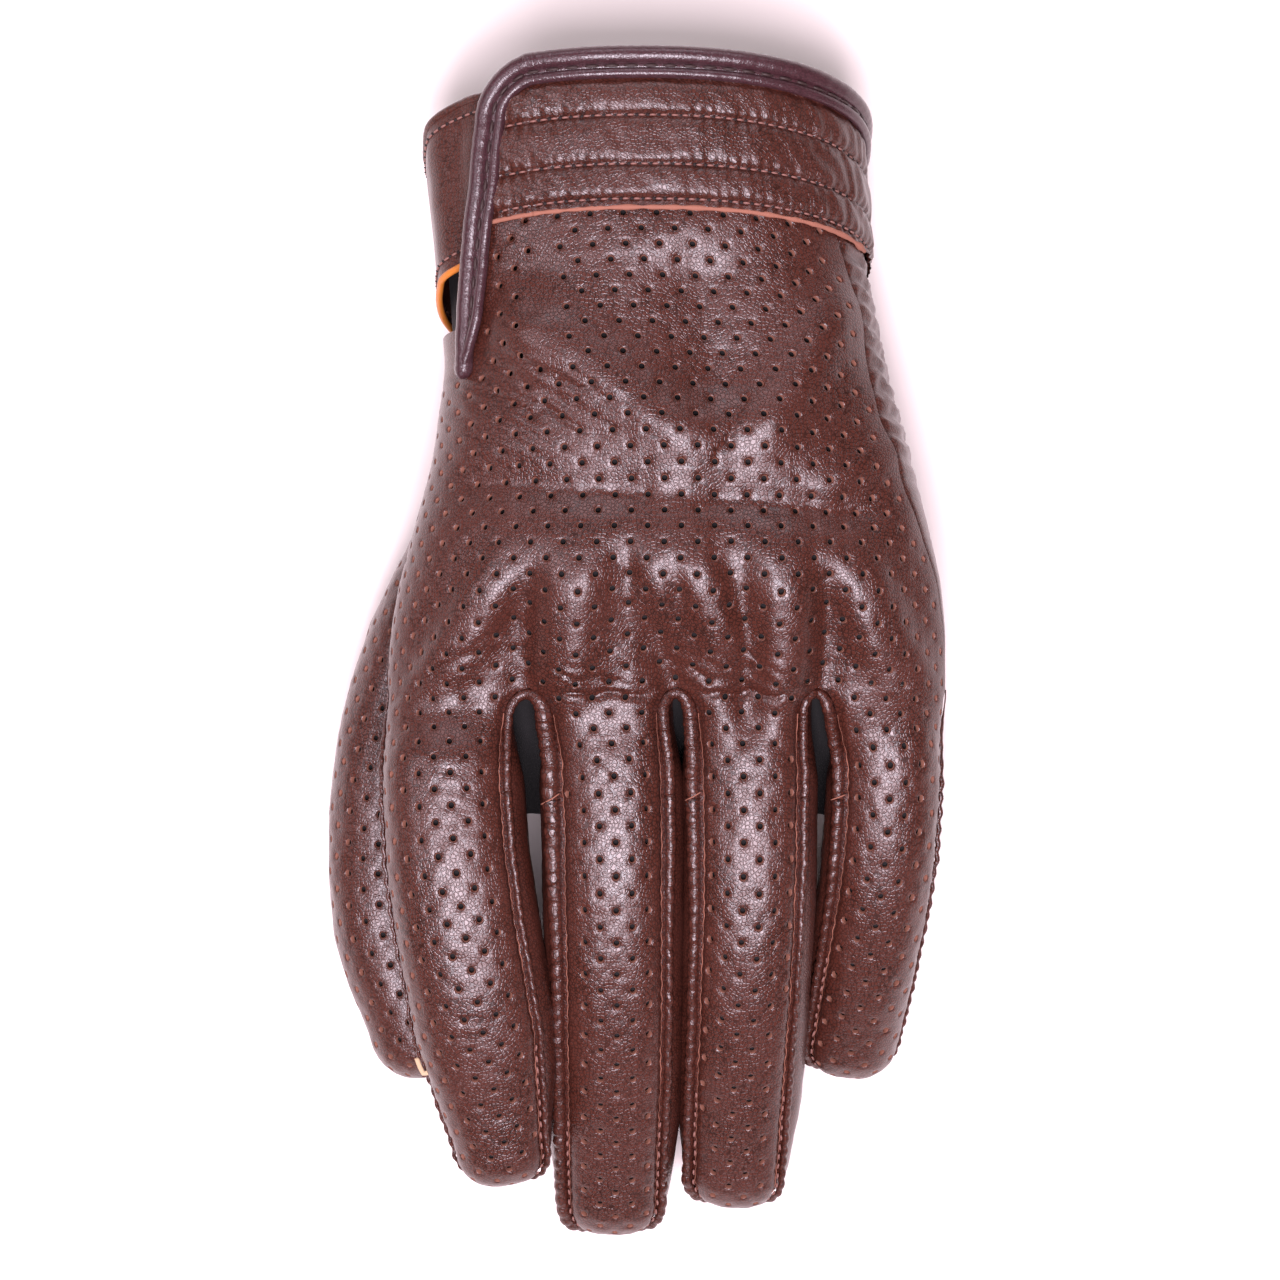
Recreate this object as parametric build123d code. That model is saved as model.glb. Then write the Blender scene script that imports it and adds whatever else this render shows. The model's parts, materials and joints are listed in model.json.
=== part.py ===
"""A left-hand leather driving glove, lying palm down with its fingers relaxed.

The glove is a set of leather panels cut to a hand's shape: each panel is a thin strip of the
hand's, a finger's or the thumb's surface, with a small seam gap to its neighbours. Every finger
is split at the knuckle and at its middle joint, where the leather folds.

Axes: +X to the little finger, +Y from the fingertips to the cuff, +Z up through the back of the
hand. Millimetres. The origin is the centre of the bounding box, on the surface it lies on.
"""

from build123d import *

import os
from math import copysign, cos, pi, radians, sin, sqrt, tan


# Driving dimensions ------------------------------------------------------------------------------

LEATHER = 1.1  # thickness of the glove leather
SEAM = 0.35  # gap between two panels of one body
LINING = 0.5  # thickness of the fabric lining
GUARD_DEPTH = 1.8  # from the leather's outside to the knuckle guard's outside
LINING_DEPTH = 4.3  # from the leather's outside to the lining's outside, clear of guard and pad
GUARD = 2.0  # thickness of the moulded knuckle guard
PAD = 2.0  # thickness of the palm's foam pad
BINDING_RADIUS = 1.9  # outer roll of the dark binding
RIM_GAP = 2.3  # from the binding's centre to the edge of the leather that it binds
PIPING_RADIUS = 0.8  # orange piping of the vent's edge
QUILTING = 0.5  # how far the padded cuff stands above the leather beside it
BOXINESS = 2.5  # exponent of the superellipse that every cross-section follows
WRIST_END = 101.5  # where the cuff's rim is highest, on the back of the hand
RIM_SLOPE = 0.34  # how far the rim runs back per millimetre down from the top of the cuff
WRIST_TOP = 51.0  # height of the top of the cuff
WRIST_RADIUS = 40.0  # the wrist's mean radius, to turn seam gaps into angles
CUFF_DEPTH = 26.8  # length of the quilted cuff band
HAND_END = (-9.3, -0.12)  # where the hand's panels end, before the knuckle folds
TIP_SHARE = 0.955  # share of the fingertip's rounding that the panels cover, before the cap

# The hand's cross-sections: y, centre x, half width, top z, bottom z at the little-finger side,
# bottom z at the thumb side.
HAND = [
    (108.0, 0.8, 39.3, 50.5, 0.0, 0.0),
    (86.0, 1.0, 39.0, 51.5, 0.0, 0.0),
    (66.0, 2.4, 38.3, 52.5, 1.0, 1.0),
    (48.0, 4.6, 39.1, 53.5, 3.5, 2.0),
    (32.0, 5.7, 42.3, 54.5, 7.0, 2.5),
    (20.0, 5.7, 45.4, 55.0, 11.0, 3.5),
    (10.0, 5.4, 47.8, 54.0, 14.5, 5.0),
    (2.0, 5.1, 48.9, 51.0, 17.5, 14.0),
    (-8.0, 4.7, 49.3, 47.5, 20.5, 20.5),
]

# Each finger: centreline points from the knuckle to where the tip rounds off, and the half widths
# and half heights spaced evenly along it.
FINGERS = {
    "index": {
        "line": [(-33.8, -6, 35.5), (-33.2, -30, 36.8), (-31.8, -45, 36), (-28.9, -63, 32.4), (-24.6, -88, 23.6)],
        "width": [11.2, 11.9, 12.2, 12.0, 9.0],
        "height": [11.8, 11.2, 10.8, 10.3, 9.0],
    },
    "middle": {
        "line": [(-5.9, -6, 34.5), (-4.8, -28, 34.6), (-4.6, -47, 32.2), (-4.5, -68, 25), (-4.8, -97, 9.2)],
        "width": [12.0, 11.3, 11.1, 10.9, 10.3],
        "height": [12.2, 11.4, 11.0, 10.6, 10.2],
    },
    "ring": {
        "line": [(19, -6, 34), (19.3, -28, 34), (19.2, -46, 31.6), (18.5, -65, 24.8), (17.4, -92.6, 8.9)],
        "width": [11.8, 10.8, 10.6, 10.3, 9.8],
        "height": [12.0, 11.0, 10.6, 10.2, 9.9],
    },
    "little": {
        "line": [(42.6, -6, 31.5), (43.6, -22, 30.8), (42.9, -38.5, 27), (41, -53.5, 19.8), (38.4, -70, 8.2)],
        "width": [10.0, 9.4, 9.4, 9.3, 8.9],
        "height": [11.0, 10.2, 9.8, 9.5, 9.2],
    },
}
KNUCKLE_AT = 0.06  # share of a finger's centreline at its knuckle fold
MIDDLE_JOINT_AT = 0.45  # share at its middle fold
FOLD_DROP = 5.0  # fold axis below the centreline
KNUCKLE_MAX = 55.0  # degrees a finger curls at the knuckle
EXTENSION_CUT = 8.0  # lean of a fold's back, which lets a knuckle straighten by 15 degrees
CURL_MARGIN = 3.0  # extra lean of a fold's palm side
MIDDLE_MAX = 66.0  # degrees it curls at the middle fold
FOLD_SLACK = 0.5  # half the gap at a fold's axis

THUMB = {
    "line": [(-37, 2, 14.6), (-42.6, -16, 12.2), (-45.2, -34, 10.8), (-44.7, -52, 10), (-39.6, -69.5, 9.2)],
    "width": [11.4, 11.2, 10.8, 10.6, 9.6],
    "height": [11.6, 11.4, 11.2, 10.8, 10.2],
}
THUMB_AXIS = (-34.0, 9.0)  # x and y of the upright axis that the thumb swings about

FLAP_HINGE_ANGLE = 112.0  # where round the wrist the closure flap bends
FLAP_EDGE = ((92, 129.7), (80, 133), (70, 140), (60, 145), (48, 149))  # y and angle of its bound edge
FLAP_CORNER = ((0.6, 119.5), (2.6, 124), (5.6, 127.5))  # how far below the rim, and the angle
FLAP_SPAN_ENDS = (116.5, 125, 131.5, 138, 142.2)  # where its leather ends, from the rim to its tip
FLAP_END = 47.0  # y of the flap's lower end
HOOK_END = 124.0  # where round the wrist the hook patch ends
TAB_START, TAB_END = 115.0, 212.0  # the tab's span round the wrist, from under the flap
TAB_DIP = 3.2  # how far the tab sinks to pass under the flap
VENT_LINE = (69.5, 0.42)  # the tab's lower edge: its y at the wrist's top, and its slope

BACK_EDGES = (14.0, 150.0)  # the perforated back's span round the hand
PALM_EDGES = (215.0, 328.0)
FINGER_SPANS = {
    "back": (34.0, 146.0),
    "palm": (216.0, 324.0),
    "little_side_wall": (-36.0, 34.0),
    "thumb_side_wall": (146.0, 216.0),
}


# Cross-sections ----------------------------------------------------------------------------------


def blend(low, high, share):
    """Smooth step from low to high."""
    share = min(1.0, max(0.0, share))
    return low + (high - low) * share * share * (3 - 2 * share)


def rounded(angle):
    """Cosine and sine of a superellipse at an angle in degrees."""
    c, s = cos(radians(angle)), sin(radians(angle))
    return copysign(abs(c) ** (2 / BOXINESS), c), copysign(abs(s) ** (2 / BOXINESS), s)


def hand_size(y):
    """Centre x, half width, top, bottom at the little finger's side and at the thumb's side."""
    for far, near in zip(HAND, HAND[1:]):
        if y >= near[0]:
            share = (y - near[0]) / (far[0] - near[0])
            return [n + (f - n) * share for f, n in zip(far[1:], near[1:])]
    return list(HAND[-1][1:])


def hand_point(station, angle, inset=0.0):
    """A point of the hand's surface on a slanting plane, moved in by inset.

    The station is the plane's y where it meets the top of the wrist, and how far it runs back
    towards the fingers per millimetre down from there."""
    start, slope = station
    c, s = rounded(angle)
    thumb_side = blend(0, 1, (0.3 - cos(radians(angle))) / 1.2)
    y = start
    for _ in range(12):
        x, half, top, bottom_little, bottom_thumb = hand_size(y)
        bottom = bottom_little + (bottom_thumb - bottom_little) * thumb_side
        middle = (top + bottom_little) / 2
        height = top - middle if s > 0 else middle - bottom
        z = middle + (height - inset) * s
        y = start - slope * (WRIST_TOP - z)
    return Vector(x + (half - inset) * c, y, z)


def fan(first, last, count):
    """Stations whose planes turn evenly from the first to the last."""
    shares = spaced(0, 1, count)
    return [(first[0] + (last[0] - first[0]) * s, first[1] + (last[1] - first[1]) * s) for s in shares]


def level(start, end, count):
    """Stations on upright planes."""
    return fan((start, 0), (end, 0), count)


def along(values, share):
    """Linear interpolation in evenly spaced values."""
    place = min(max(share, 0.0), 1.0) * (len(values) - 1)
    low = min(int(place), len(values) - 2)
    return values[low] + (values[low + 1] - values[low]) * (place - low)


class Tube:
    """A finger's or the thumb's surface: a superellipse swept along a curved centreline."""

    def __init__(self, shape):
        self.shape = shape
        self.path = Spline(*[Vector(*p) for p in shape["line"]])
        self.length = self.path.length
        self.tip = along(shape["width"], 1.0)

    def frame(self, share):
        """Centre, forward, sideways and up at a share of the centreline, which may be over 1."""
        forward = (self.path % min(max(share, 0.0), 1.0)).normalized()
        centre = self.path @ min(max(share, 0.0), 1.0)
        centre = centre + forward * (self.length * (share - min(max(share, 0.0), 1.0)))
        side = Vector(0, 0, 1).cross(forward).normalized()
        return centre, forward, side, forward.cross(side)

    def tip_share(self, rounding):
        """The share of the centreline at which the tip's rounding has reached this far, 0 to 1."""
        return 1 + rounding * self.tip / self.length

    def point(self, share, angle, inset=0.0):
        centre, _, side, up = self.frame(share)
        rounding = max(0.0, (share - 1) * self.length / self.tip)
        shrink = sqrt(max(0.0, 1 - rounding**2))
        c, s = rounded(angle)
        wide = max(0.3, along(self.shape["width"], share) * shrink - inset)
        tall = max(0.3, along(self.shape["height"], share) * shrink - inset)
        return centre + side * (wide * c) + up * (tall * s)


# Solids ------------------------------------------------------------------------------------------


def strip(point, stations, spans, depth=0.0, thickness=LEATHER, points=9):
    """A panel: the surface's strip between two angles, through the stations.

    spans is one pair of angles for the whole panel, or a list of a pair for each station."""
    if isinstance(spans, tuple):
        spans = [spans] * len(stations)
    wires = []
    for station, (start, end) in zip(stations, spans):
        angles = spaced(start, end, points)
        outer = [point(station, a, depth) for a in angles]
        inner = [point(station, a, depth + thickness) for a in reversed(angles)]
        wires.append(
            Wire([Spline(*outer), Line(outer[-1], inner[0]), Spline(*inner), Line(inner[-1], outer[0])])
        )
    return Solid.make_loft(wires, ruled=True)


def gapped(span, radius):
    """A span of angles, less half a seam at each end."""
    half_gap = SEAM / 2 / radius * 180 / pi
    return span[0] + half_gap, span[1] - half_gap


def plug(tube, start, end):
    """The small cap that closes a fingertip, between two sections of its rounding."""
    rings = [
        Wire([Spline(*[tube.point(s, a) for a in range(0, 360, 30)], periodic=True)])
        for s in (start, end)
    ]
    return Solid.make_loft(rings, ruled=True)


def spaced(start, end, count):
    return [start + (end - start) * i / (count - 1) for i in range(count)]


def fold_frame(tube, share):
    """A fold's origin, the way to the fingertip, the fold's axis and the way up."""
    centre, forward, side, up = tube.frame(share)
    return centre - up * FOLD_DROP, forward, side, up


def fold_cutter(tube, share, towards_tip, top_angle, palm_angle):
    """What a fold takes off the solids on one side of it: all beyond two planes that meet at its axis.

    The planes lean away from the axis by top_angle above it and palm_angle below it, so the two
    sides of the fold clear each other over its whole travel."""
    reach, tall, half_width = 60.0, 26.0, 20.0
    way = 1 if towards_tip else -1
    outline = [
        (-way * reach, tall),
        (way * (FOLD_SLACK + tall * tan(radians(top_angle))), tall),
        (way * FOLD_SLACK, 0),
        (way * (FOLD_SLACK + tall * tan(radians(palm_angle))), -tall),
        (-way * reach, -tall),
    ]
    origin, forward, side, up = fold_frame(tube, share)
    corners = [origin - side * half_width + forward * u + up * v for u, v in outline]
    face = Face(Wire([Line(a, b) for a, b in zip(corners, corners[1:] + corners[:1])]))
    return Solid.extrude(face, side * half_width * 2)


def cut(solid, cutter):
    """A panel less a fold's cutter, as one solid."""
    left = (solid - cutter).solids()
    return max(left, key=lambda s: s.volume)


def finger_parts(name, shape):
    """The eight nodes of one finger: its back, palm and two walls, before and after the middle fold."""
    tube = Tube(shape)
    knuckle_lean = KNUCKLE_MAX / 2 + CURL_MARGIN
    middle_lean = MIDDLE_MAX / 2 + CURL_MARGIN
    radius = along(shape["width"], 0.5)
    base_stations = spaced(0.0, MIDDLE_JOINT_AT + 0.02, 8)
    end_stations = spaced(MIDDLE_JOINT_AT - 0.02, 1.0, 9) + [
        tube.tip_share(r) for r in (0.25, 0.45, 0.62, 0.76, 0.87, TIP_SHARE)
    ]
    after_knuckle = fold_cutter(tube, KNUCKLE_AT, True, EXTENSION_CUT, knuckle_lean)
    before_middle = fold_cutter(tube, MIDDLE_JOINT_AT, False, EXTENSION_CUT, middle_lean)
    after_middle = fold_cutter(tube, MIDDLE_JOINT_AT, True, EXTENSION_CUT, middle_lean)
    parts = {}
    for piece, span in FINGER_SPANS.items():
        span = gapped(span, radius)
        base = strip(tube.point, base_stations, span)
        end = strip(tube.point, end_stations, span)
        parts[f"{name}_{piece}_base"] = [cut(cut(base, after_knuckle), before_middle)]
        parts[f"{name}_{piece}_end"] = [cut(end, after_middle)]
    parts[f"{name}_palm_end"].append(plug(tube, tube.tip_share(TIP_SHARE + 0.008), tube.tip_share(0.998)))
    return parts


def thumb_parts():
    tube = Tube(THUMB)
    stations = spaced(0.02, 1.0, 11) + [tube.tip_share(r) for r in (0.25, 0.45, 0.62, 0.76, 0.87, TIP_SHARE)]
    radius = along(THUMB["width"], 0.5)
    cap = plug(tube, tube.tip_share(TIP_SHARE + 0.008), tube.tip_share(0.998))
    return {
        "thumb_back": [strip(tube.point, stations, gapped((62, 236), radius), points=13)],
        "thumb_palm": [strip(tube.point, stations, gapped((236, 422), radius), points=13), cap],
    }


def cuff_parts():
    """The back and palm halves of the quilted cuff band."""
    stations = fan((WRIST_END - CUFF_DEPTH, RIM_SLOPE), (WRIST_END - RIM_GAP, RIM_SLOPE), 4)
    back = gapped((-24, FLAP_HINGE_ANGLE), WRIST_RADIUS)
    palm = gapped((TAB_END, 336), WRIST_RADIUS)
    return {
        "cuff_band_back": [strip(hand_point, stations, back, -QUILTING, LEATHER + QUILTING, points=13)],
        "cuff_band_palm": [strip(hand_point, stations, palm, -QUILTING, LEATHER + QUILTING, points=13)],
    }


def hand_parts():
    """The hand's leather panels, guard, pad, lining and elastic."""
    cuff_line = (WRIST_END - CUFF_DEPTH - SEAM, RIM_SLOPE)
    back_rows = fan(cuff_line, HAND_END, 17)
    vent_rows = fan((FLAP_END - 1, 0), HAND_END, 12)
    palm_rows = fan(cuff_line, (-2.5, 0), 13)
    gusset_rows = fan((FLAP_END - 3, 0), HAND_END, 13)

    def edges(start, end):
        return gapped((start, end), WRIST_RADIUS)

    palm_starts = [blend(PALM_EDGES[0], 246, (s - 0.7) / 0.2) for s in spaced(0, 1, 13)]
    gusset_ends = [blend(PALM_EDGES[0], 186, (s - 0.55) / 0.17) for s in spaced(0, 1, 13)]
    palm_spans = [edges(start, PALM_EDGES[1]) for start in palm_starts]
    gusset_spans = [edges(BACK_EDGES[1], end) for end in gusset_ends]
    lining = (((23, 111), 74), ((113, 213), FLAP_END - 3), ((215, 292), 74), ((294, 381), 74))
    return {
        "back_panel": [
            strip(hand_point, back_rows, edges(BACK_EDGES[0], FLAP_HINGE_ANGLE), points=11),
            strip(hand_point, vent_rows, edges(FLAP_HINGE_ANGLE, BACK_EDGES[1])),
        ],
        "outer_side_panel": [strip(hand_point, back_rows, edges(-32, BACK_EDGES[0]))],
        "palm_panel": [strip(hand_point, palm_rows, palm_spans, points=13)],
        "thumb_gusset": [strip(hand_point, gusset_rows, gusset_spans)],
        "knuckle_guard": [strip(hand_point, level(17, -1, 5), (34, 146), GUARD_DEPTH, GUARD)],
        "palm_pad": [strip(hand_point, level(58, 34, 4), (236, 300), GUARD_DEPTH, PAD)],
        "hand_lining": [
            strip(hand_point, level(top, 2, 9), span, LINING_DEPTH, LINING) for span, top in lining
        ],
        "wrist_elastic": [strip(hand_point, level(71, 64, 3), (226, 314), GUARD_DEPTH, 1.0)],
    }


def roll(centres, radius, end_scale=1.0):
    """A round roll through centres, as a ruled loft of circles; the last one may be smaller."""
    rings = []
    for i, centre in enumerate(centres):
        ahead = centres[min(i + 1, len(centres) - 1)]
        behind = centres[max(i - 1, 0)]
        size = radius * (end_scale if i == len(centres) - 1 else 1.0)
        across = Plane(origin=centre, z_dir=(ahead - behind).normalized())
        rings.append(Wire([Edge.make_circle(size, across)]))
    return Solid.make_loft(rings, ruled=True)


def tab_point(station, angle, inset=0.0):
    """The tab's surface, flush with the palm's cuff and sinking to pass under the flap."""
    return hand_point(station, angle, inset + 0.3 + blend(TAB_DIP, 0, (angle - 147) / 23))


def closure_parts():
    """The flap with its binding and hook patch, the tab under it with its loop patch and vent edge."""
    rim = (WRIST_END - RIM_GAP, RIM_SLOPE)
    flap_rows = fan(rim, (FLAP_END, 0), 5)
    flap_spans = [(FLAP_HINGE_ANGLE + 0.8, end) for end in FLAP_SPAN_ENDS]
    hook_rows = flap_rows[1:4]
    hook_span = (FLAP_HINGE_ANGLE + 5, HOOK_END)
    tab_rows = fan((WRIST_END - RIM_GAP, RIM_SLOPE), VENT_LINE, 5)
    binding_line = (WRIST_END, RIM_SLOPE)
    flap_rim = [hand_point(binding_line, a, 0.2) for a in (112.8, 115.5)]
    flap_corner = [hand_point((WRIST_END - drop, RIM_SLOPE), a, 0.2) for drop, a in FLAP_CORNER]
    flap_side = [hand_point((y, 0), a, 0.2) for y, a in FLAP_EDGE]
    cuff_rim = [hand_point(binding_line, a, 0.2) for a in spaced(110.0, -147.0, 33)]
    piping_line = (VENT_LINE[0] - PIPING_RADIUS - 0.2, VENT_LINE[1])
    piping = [tab_point(piping_line, a, 0.5) for a in spaced(150, 190, 6)]
    return {
        "closure_flap": [strip(hand_point, flap_rows, flap_spans, -QUILTING, LEATHER + QUILTING)],
        "flap_binding": [roll(flap_rim + flap_corner + flap_side, BINDING_RADIUS, end_scale=0.6)],
        "hook_patch": [strip(hand_point, hook_rows, hook_span, LEATHER + 0.2, 0.8)],
        "closure_tab": [
            strip(tab_point, tab_rows, (TAB_START, TAB_END - 0.5), points=15)
        ],
        "loop_patch": [
            strip(tab_point, tab_rows[1:4], (TAB_START + 3, TAB_START + 18), -1.0, 0.8)
        ],
        "vent_piping": [roll(piping, PIPING_RADIUS)],
        "cuff_binding": [roll(cuff_rim, BINDING_RADIUS)],
    }


def all_parts():
    parts = {}
    parts.update(hand_parts())
    parts.update(cuff_parts())
    parts.update(closure_parts())
    for name, shape in FINGERS.items():
        parts.update(finger_parts(name, shape))
    parts.update(thumb_parts())
    return parts


def main():
    os.makedirs("parts", exist_ok=True)
    parts = all_parts()
    box = Compound([s for solids in parts.values() for s in solids]).bounding_box()
    centre = (box.min + box.max) / 2
    shift = Vector(-centre.X, -centre.Y, -box.min.Z)
    for name, solids in parts.items():
        shape = solids[0] if len(solids) == 1 else Compound(solids)
        export_step(shape.moved(Location(shift)), f"parts/{name}.step")
    print("shift", shift, "size", box.size)
    for name, shape in FINGERS.items():
        for joint, share in (("knuckle", KNUCKLE_AT), ("middle joint", MIDDLE_JOINT_AT)):
            origin, _, side, _ = fold_frame(Tube(shape), share)
            print(name, joint, origin + shift, "axis", side)
    print("the thumb swings about", THUMB_AXIS)


main()
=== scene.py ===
"""A left-hand leather driving glove, lying palm down: perforated back, padded cuff, rolled seams.

Laid out as an add-on: each operator makes one group of pieces on the CAD frame, and main() runs
them in order. Shapes are worked out in millimetres on a smooth form of the hand inside the glove,
then moved to the row frame in metres. On every form, v runs along the glove in millimetres and
falls towards the fingertips, and an angle runs round it: 0 at the little finger's side, 90 on the
back of the hand, 180 at the thumb's side and 270 in the palm.
"""

import json
from math import cos, pi, sin

import bpy
import numpy as np
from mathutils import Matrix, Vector


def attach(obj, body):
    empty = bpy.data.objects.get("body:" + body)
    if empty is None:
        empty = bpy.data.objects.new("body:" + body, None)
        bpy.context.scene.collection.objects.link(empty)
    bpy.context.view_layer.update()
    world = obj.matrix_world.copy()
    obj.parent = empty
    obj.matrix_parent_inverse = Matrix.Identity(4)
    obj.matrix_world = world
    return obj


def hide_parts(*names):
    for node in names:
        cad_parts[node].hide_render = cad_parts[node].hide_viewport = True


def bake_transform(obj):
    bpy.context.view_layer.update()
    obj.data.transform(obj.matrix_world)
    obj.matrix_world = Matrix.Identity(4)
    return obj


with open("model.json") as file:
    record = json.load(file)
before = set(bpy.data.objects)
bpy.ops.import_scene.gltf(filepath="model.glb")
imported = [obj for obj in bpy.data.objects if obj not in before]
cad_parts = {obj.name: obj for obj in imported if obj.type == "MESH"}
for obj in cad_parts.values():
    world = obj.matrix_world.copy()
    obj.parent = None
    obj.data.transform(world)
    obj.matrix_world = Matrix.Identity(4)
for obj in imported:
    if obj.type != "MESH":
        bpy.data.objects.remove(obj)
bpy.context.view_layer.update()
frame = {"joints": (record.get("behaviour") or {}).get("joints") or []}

bl_info = {
    "name": "Leather driving glove",
    "version": (1, 0),
    "blender": (4, 0, 0),
    "location": "3D View > Sidebar > Glove",
    "description": "Builds a perforated leather driving glove on its CAD frame",
    "category": "Object",
}

# Form of the hand --------------------------------------------------------------------------------

FORM_ORIGIN = (1.07, 2.01, 1.61)  # where the form's own axes start in the row frame, in mm
FORM_POWER = 2.5  # exponent of the rounded, slightly boxy cross-sections
WRIST_TOP = 51.0  # height of the top of the cuff
RIM_SLOPE = 0.28  # the cuff's lines run this far back per mm down from the top
RIM_ARCH = 1.6  # how much further the lines fall at the sides
CUFF_EDGE = 74.9  # v of the quilted band's raw edge
CROTCH = -8.75  # v at which the fingers part
CELL_V, CELL_S = 2.7, 2.9  # half the pitch of the perforations, along and across
FLAP_ROW = 21  # row of cells, counted from the crotch, at which the flap's edge ends
FLAP_END = CROTCH + FLAP_ROW * CELL_V
HINGE_ANGLE = 116.0  # where round the wrist the closure flap bends
RIM = 101.1  # v of the middle of the rim's outer roll
CORNER = 9.5  # radius of the flap's corner, at the outer roll
QUILT_ROWS = (90.6, 82.0, 75.9)  # v of the cuff's rows of stitches
QUILT_RISE = 0.8  # how far the padding stands between two rows
BAND_LIFT = 0.75  # how far the band's rows of stitches stand over the hand's form
STITCH_LIFT = 0.62  # the same for the stitches' own path
EDGE_LIFT = 0.55  # the same for the band's cut edge
# inset, height and radius of the rim's outer roll, stitched groove and inner roll
RIM_ROLLS = (("outer_roll", 0.0, 0.9, 1.65), ("groove", 2.0, 0.75, 0.95), ("inner_roll", 3.2, 1.35, 0.95))
TAB_DIP = 3.0  # how far the tab sinks under the flap
TAB_ANGLES = (117, 212)  # how far round the wrist the tab reaches
TAPE_ROWS = (78, 92)  # v between which the hook and loop tapes lie
TAG_PLACE = 76.0  # how far down the index finger the pale tag is, from the form's own axes
THUMB_ANGLE = 172.0  # where the back leather ends on the index finger's thumb side
THUMB_SIDE = 192.0  # how far round the back leather reaches on the thumb's side
TAB_TOP = 97.5  # v of the tab's folded top edge
VENT = (70.5, 0.44)  # the tab's lower edge: its v at the wrist's top, and its slope
GUSSET_TOP = (55.5, 0.12)  # the same for the thumb gusset's top, which the vent parts from the tab
CUFF_START = -24.0  # angle at which the cuff's back and palm bands meet
CUFF_END = -148.0  # angle at which the palm band passes under the tab
PALM_FROM, PALM_TO = -32.0, 328.0  # where the palm leather meets the side panel, counted both ways
OUTER_WALL_SINK = 0.3  # how far an outer side wall lies below the hand's surface where it starts
LINING_DEPTH = 1.5  # how far the lining lies inside the leather

# y, centre x, half width, top z, bottom z at the little finger's side and at the thumb's side
HAND = np.array(
    [
        (-30.0, 4.5, 49.1, 44.0, 21.0, 21.0),
        (-8.0, 4.7, 49.3, 47.5, 20.5, 20.5),
        (2.0, 5.1, 48.9, 51.0, 17.5, 14.0),
        (10.0, 5.4, 47.8, 54.0, 14.5, 5.0),
        (20.0, 5.7, 45.4, 55.0, 11.0, 3.5),
        (32.0, 5.7, 42.3, 54.5, 7.0, 2.5),
        (48.0, 4.6, 39.1, 53.5, 3.5, 2.0),
        (66.0, 2.1, 38.0, 52.5, 1.0, 1.0),
        (86.0, 0.4, 38.4, 51.5, 0.0, 0.0),
        (108.0, 0.2, 38.6, 50.5, 0.0, 0.0),
    ]
)

# each finger's centreline from the knuckle to where the tip rounds off, its half widths and half
# heights along it, and the angles between which the back leather covers it
FINGERS = {
    "index": {
        "line": [
            (-33.8, -6, 35.5),
            (-33.2, -30, 36.8),
            (-31.8, -45, 36),
            (-28.9, -63, 32.4),
            (-24.6, -88, 23.6),
        ],
        "width": [11.2, 11.9, 12.2, 12.0, 9.0],
        "height": [11.8, 11.2, 10.8, 10.3, 9.0],
        "back": (40, 172),
    },
    "middle": {
        "line": [(-5.9, -6, 34.5), (-4.8, -28, 34.6), (-4.6, -47, 32.2), (-4.5, -68, 25), (-4.8, -97, 9.2)],
        "width": [12.0, 11.3, 11.1, 10.9, 10.3],
        "height": [12.2, 11.4, 11.0, 10.6, 10.2],
        "back": (40, 140),
    },
    "ring": {
        "line": [(19, -6, 34), (19.3, -28, 34), (19.2, -46, 31.6), (18.5, -65, 24.8), (17.4, -92.6, 8.9)],
        "width": [11.8, 10.8, 10.6, 10.3, 9.8],
        "height": [12.0, 11.0, 10.6, 10.2, 9.9],
        "back": (40, 140),
    },
    "little": {
        "line": [(42.6, -6, 31.5), (43.6, -22, 30.8), (42.9, -38.5, 27), (41, -53.5, 19.8), (38.4, -70, 8.2)],
        "width": [10.0, 9.4, 9.4, 9.3, 8.9],
        "height": [11.0, 10.2, 9.8, 9.5, 9.2],
        "back": (8, 140),
    },
}
THUMB = {
    "line": [
        (-31.5, 16, 17.5),
        (-37, 2, 14.6),
        (-42.6, -16, 12.2),
        (-45.2, -34, 10.8),
        (-44.7, -52, 10),
        (-39.6, -69.5, 9.2),
    ],
    "width": [9.5, 11.2, 11.4, 11.0, 10.6, 9.6],
    "height": [9.5, 11.4, 11.5, 11.2, 10.8, 10.2],
    "back": (62, 236),
}
CROTCH_X = (-19.6, 6.5, 31.2)  # where the clefts between the fingers start
CLEFT_HALF = (4.1, 3.4, 3.3)  # half of each cleft's width
CLEFT_ARCH = 4.4  # how far down a cleft its round top reaches
SEAM_DEPTH = 0.9  # how deep the leather turns down into a seam
ROLL_REACH = 0.95  # how far a seam roll's middle lies beside the border, as a share of its radius
GATHER_PITCH = 1.7  # from one gather of a seam roll to the next
SEAM_LEVEL = -0.35  # height of a side wall's leather, and of a seam roll's middle, at the seams
MERGE = 13.0  # how far beyond the crotch a finger's leather has left the hand's surface
CURVE_STEPS = 60  # steps between two points of a finger's centreline
# radius and depth of the rings of a punched hole, from its dimpled rim down to its far end
HOLE_RINGS = ((0.82, 0.02), (0.6, 0.12), (0.53, 0.3), (0.51, 1.0))
HOLE_MARGIN = 1.9  # a hole nearer to a border than this is left out
SEWN_STEP = 0.2  # spacing of the points along a row of stitches
FIRST_STITCH = 0.6  # from the start of a row to its first stitch


def smoothstep(low, high, x):
    """A smooth climb from 0 at low to 1 at high."""
    t = np.clip((np.asarray(x, float) - low) / (high - low), 0, 1)
    return t * t * (3 - 2 * t)


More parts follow.
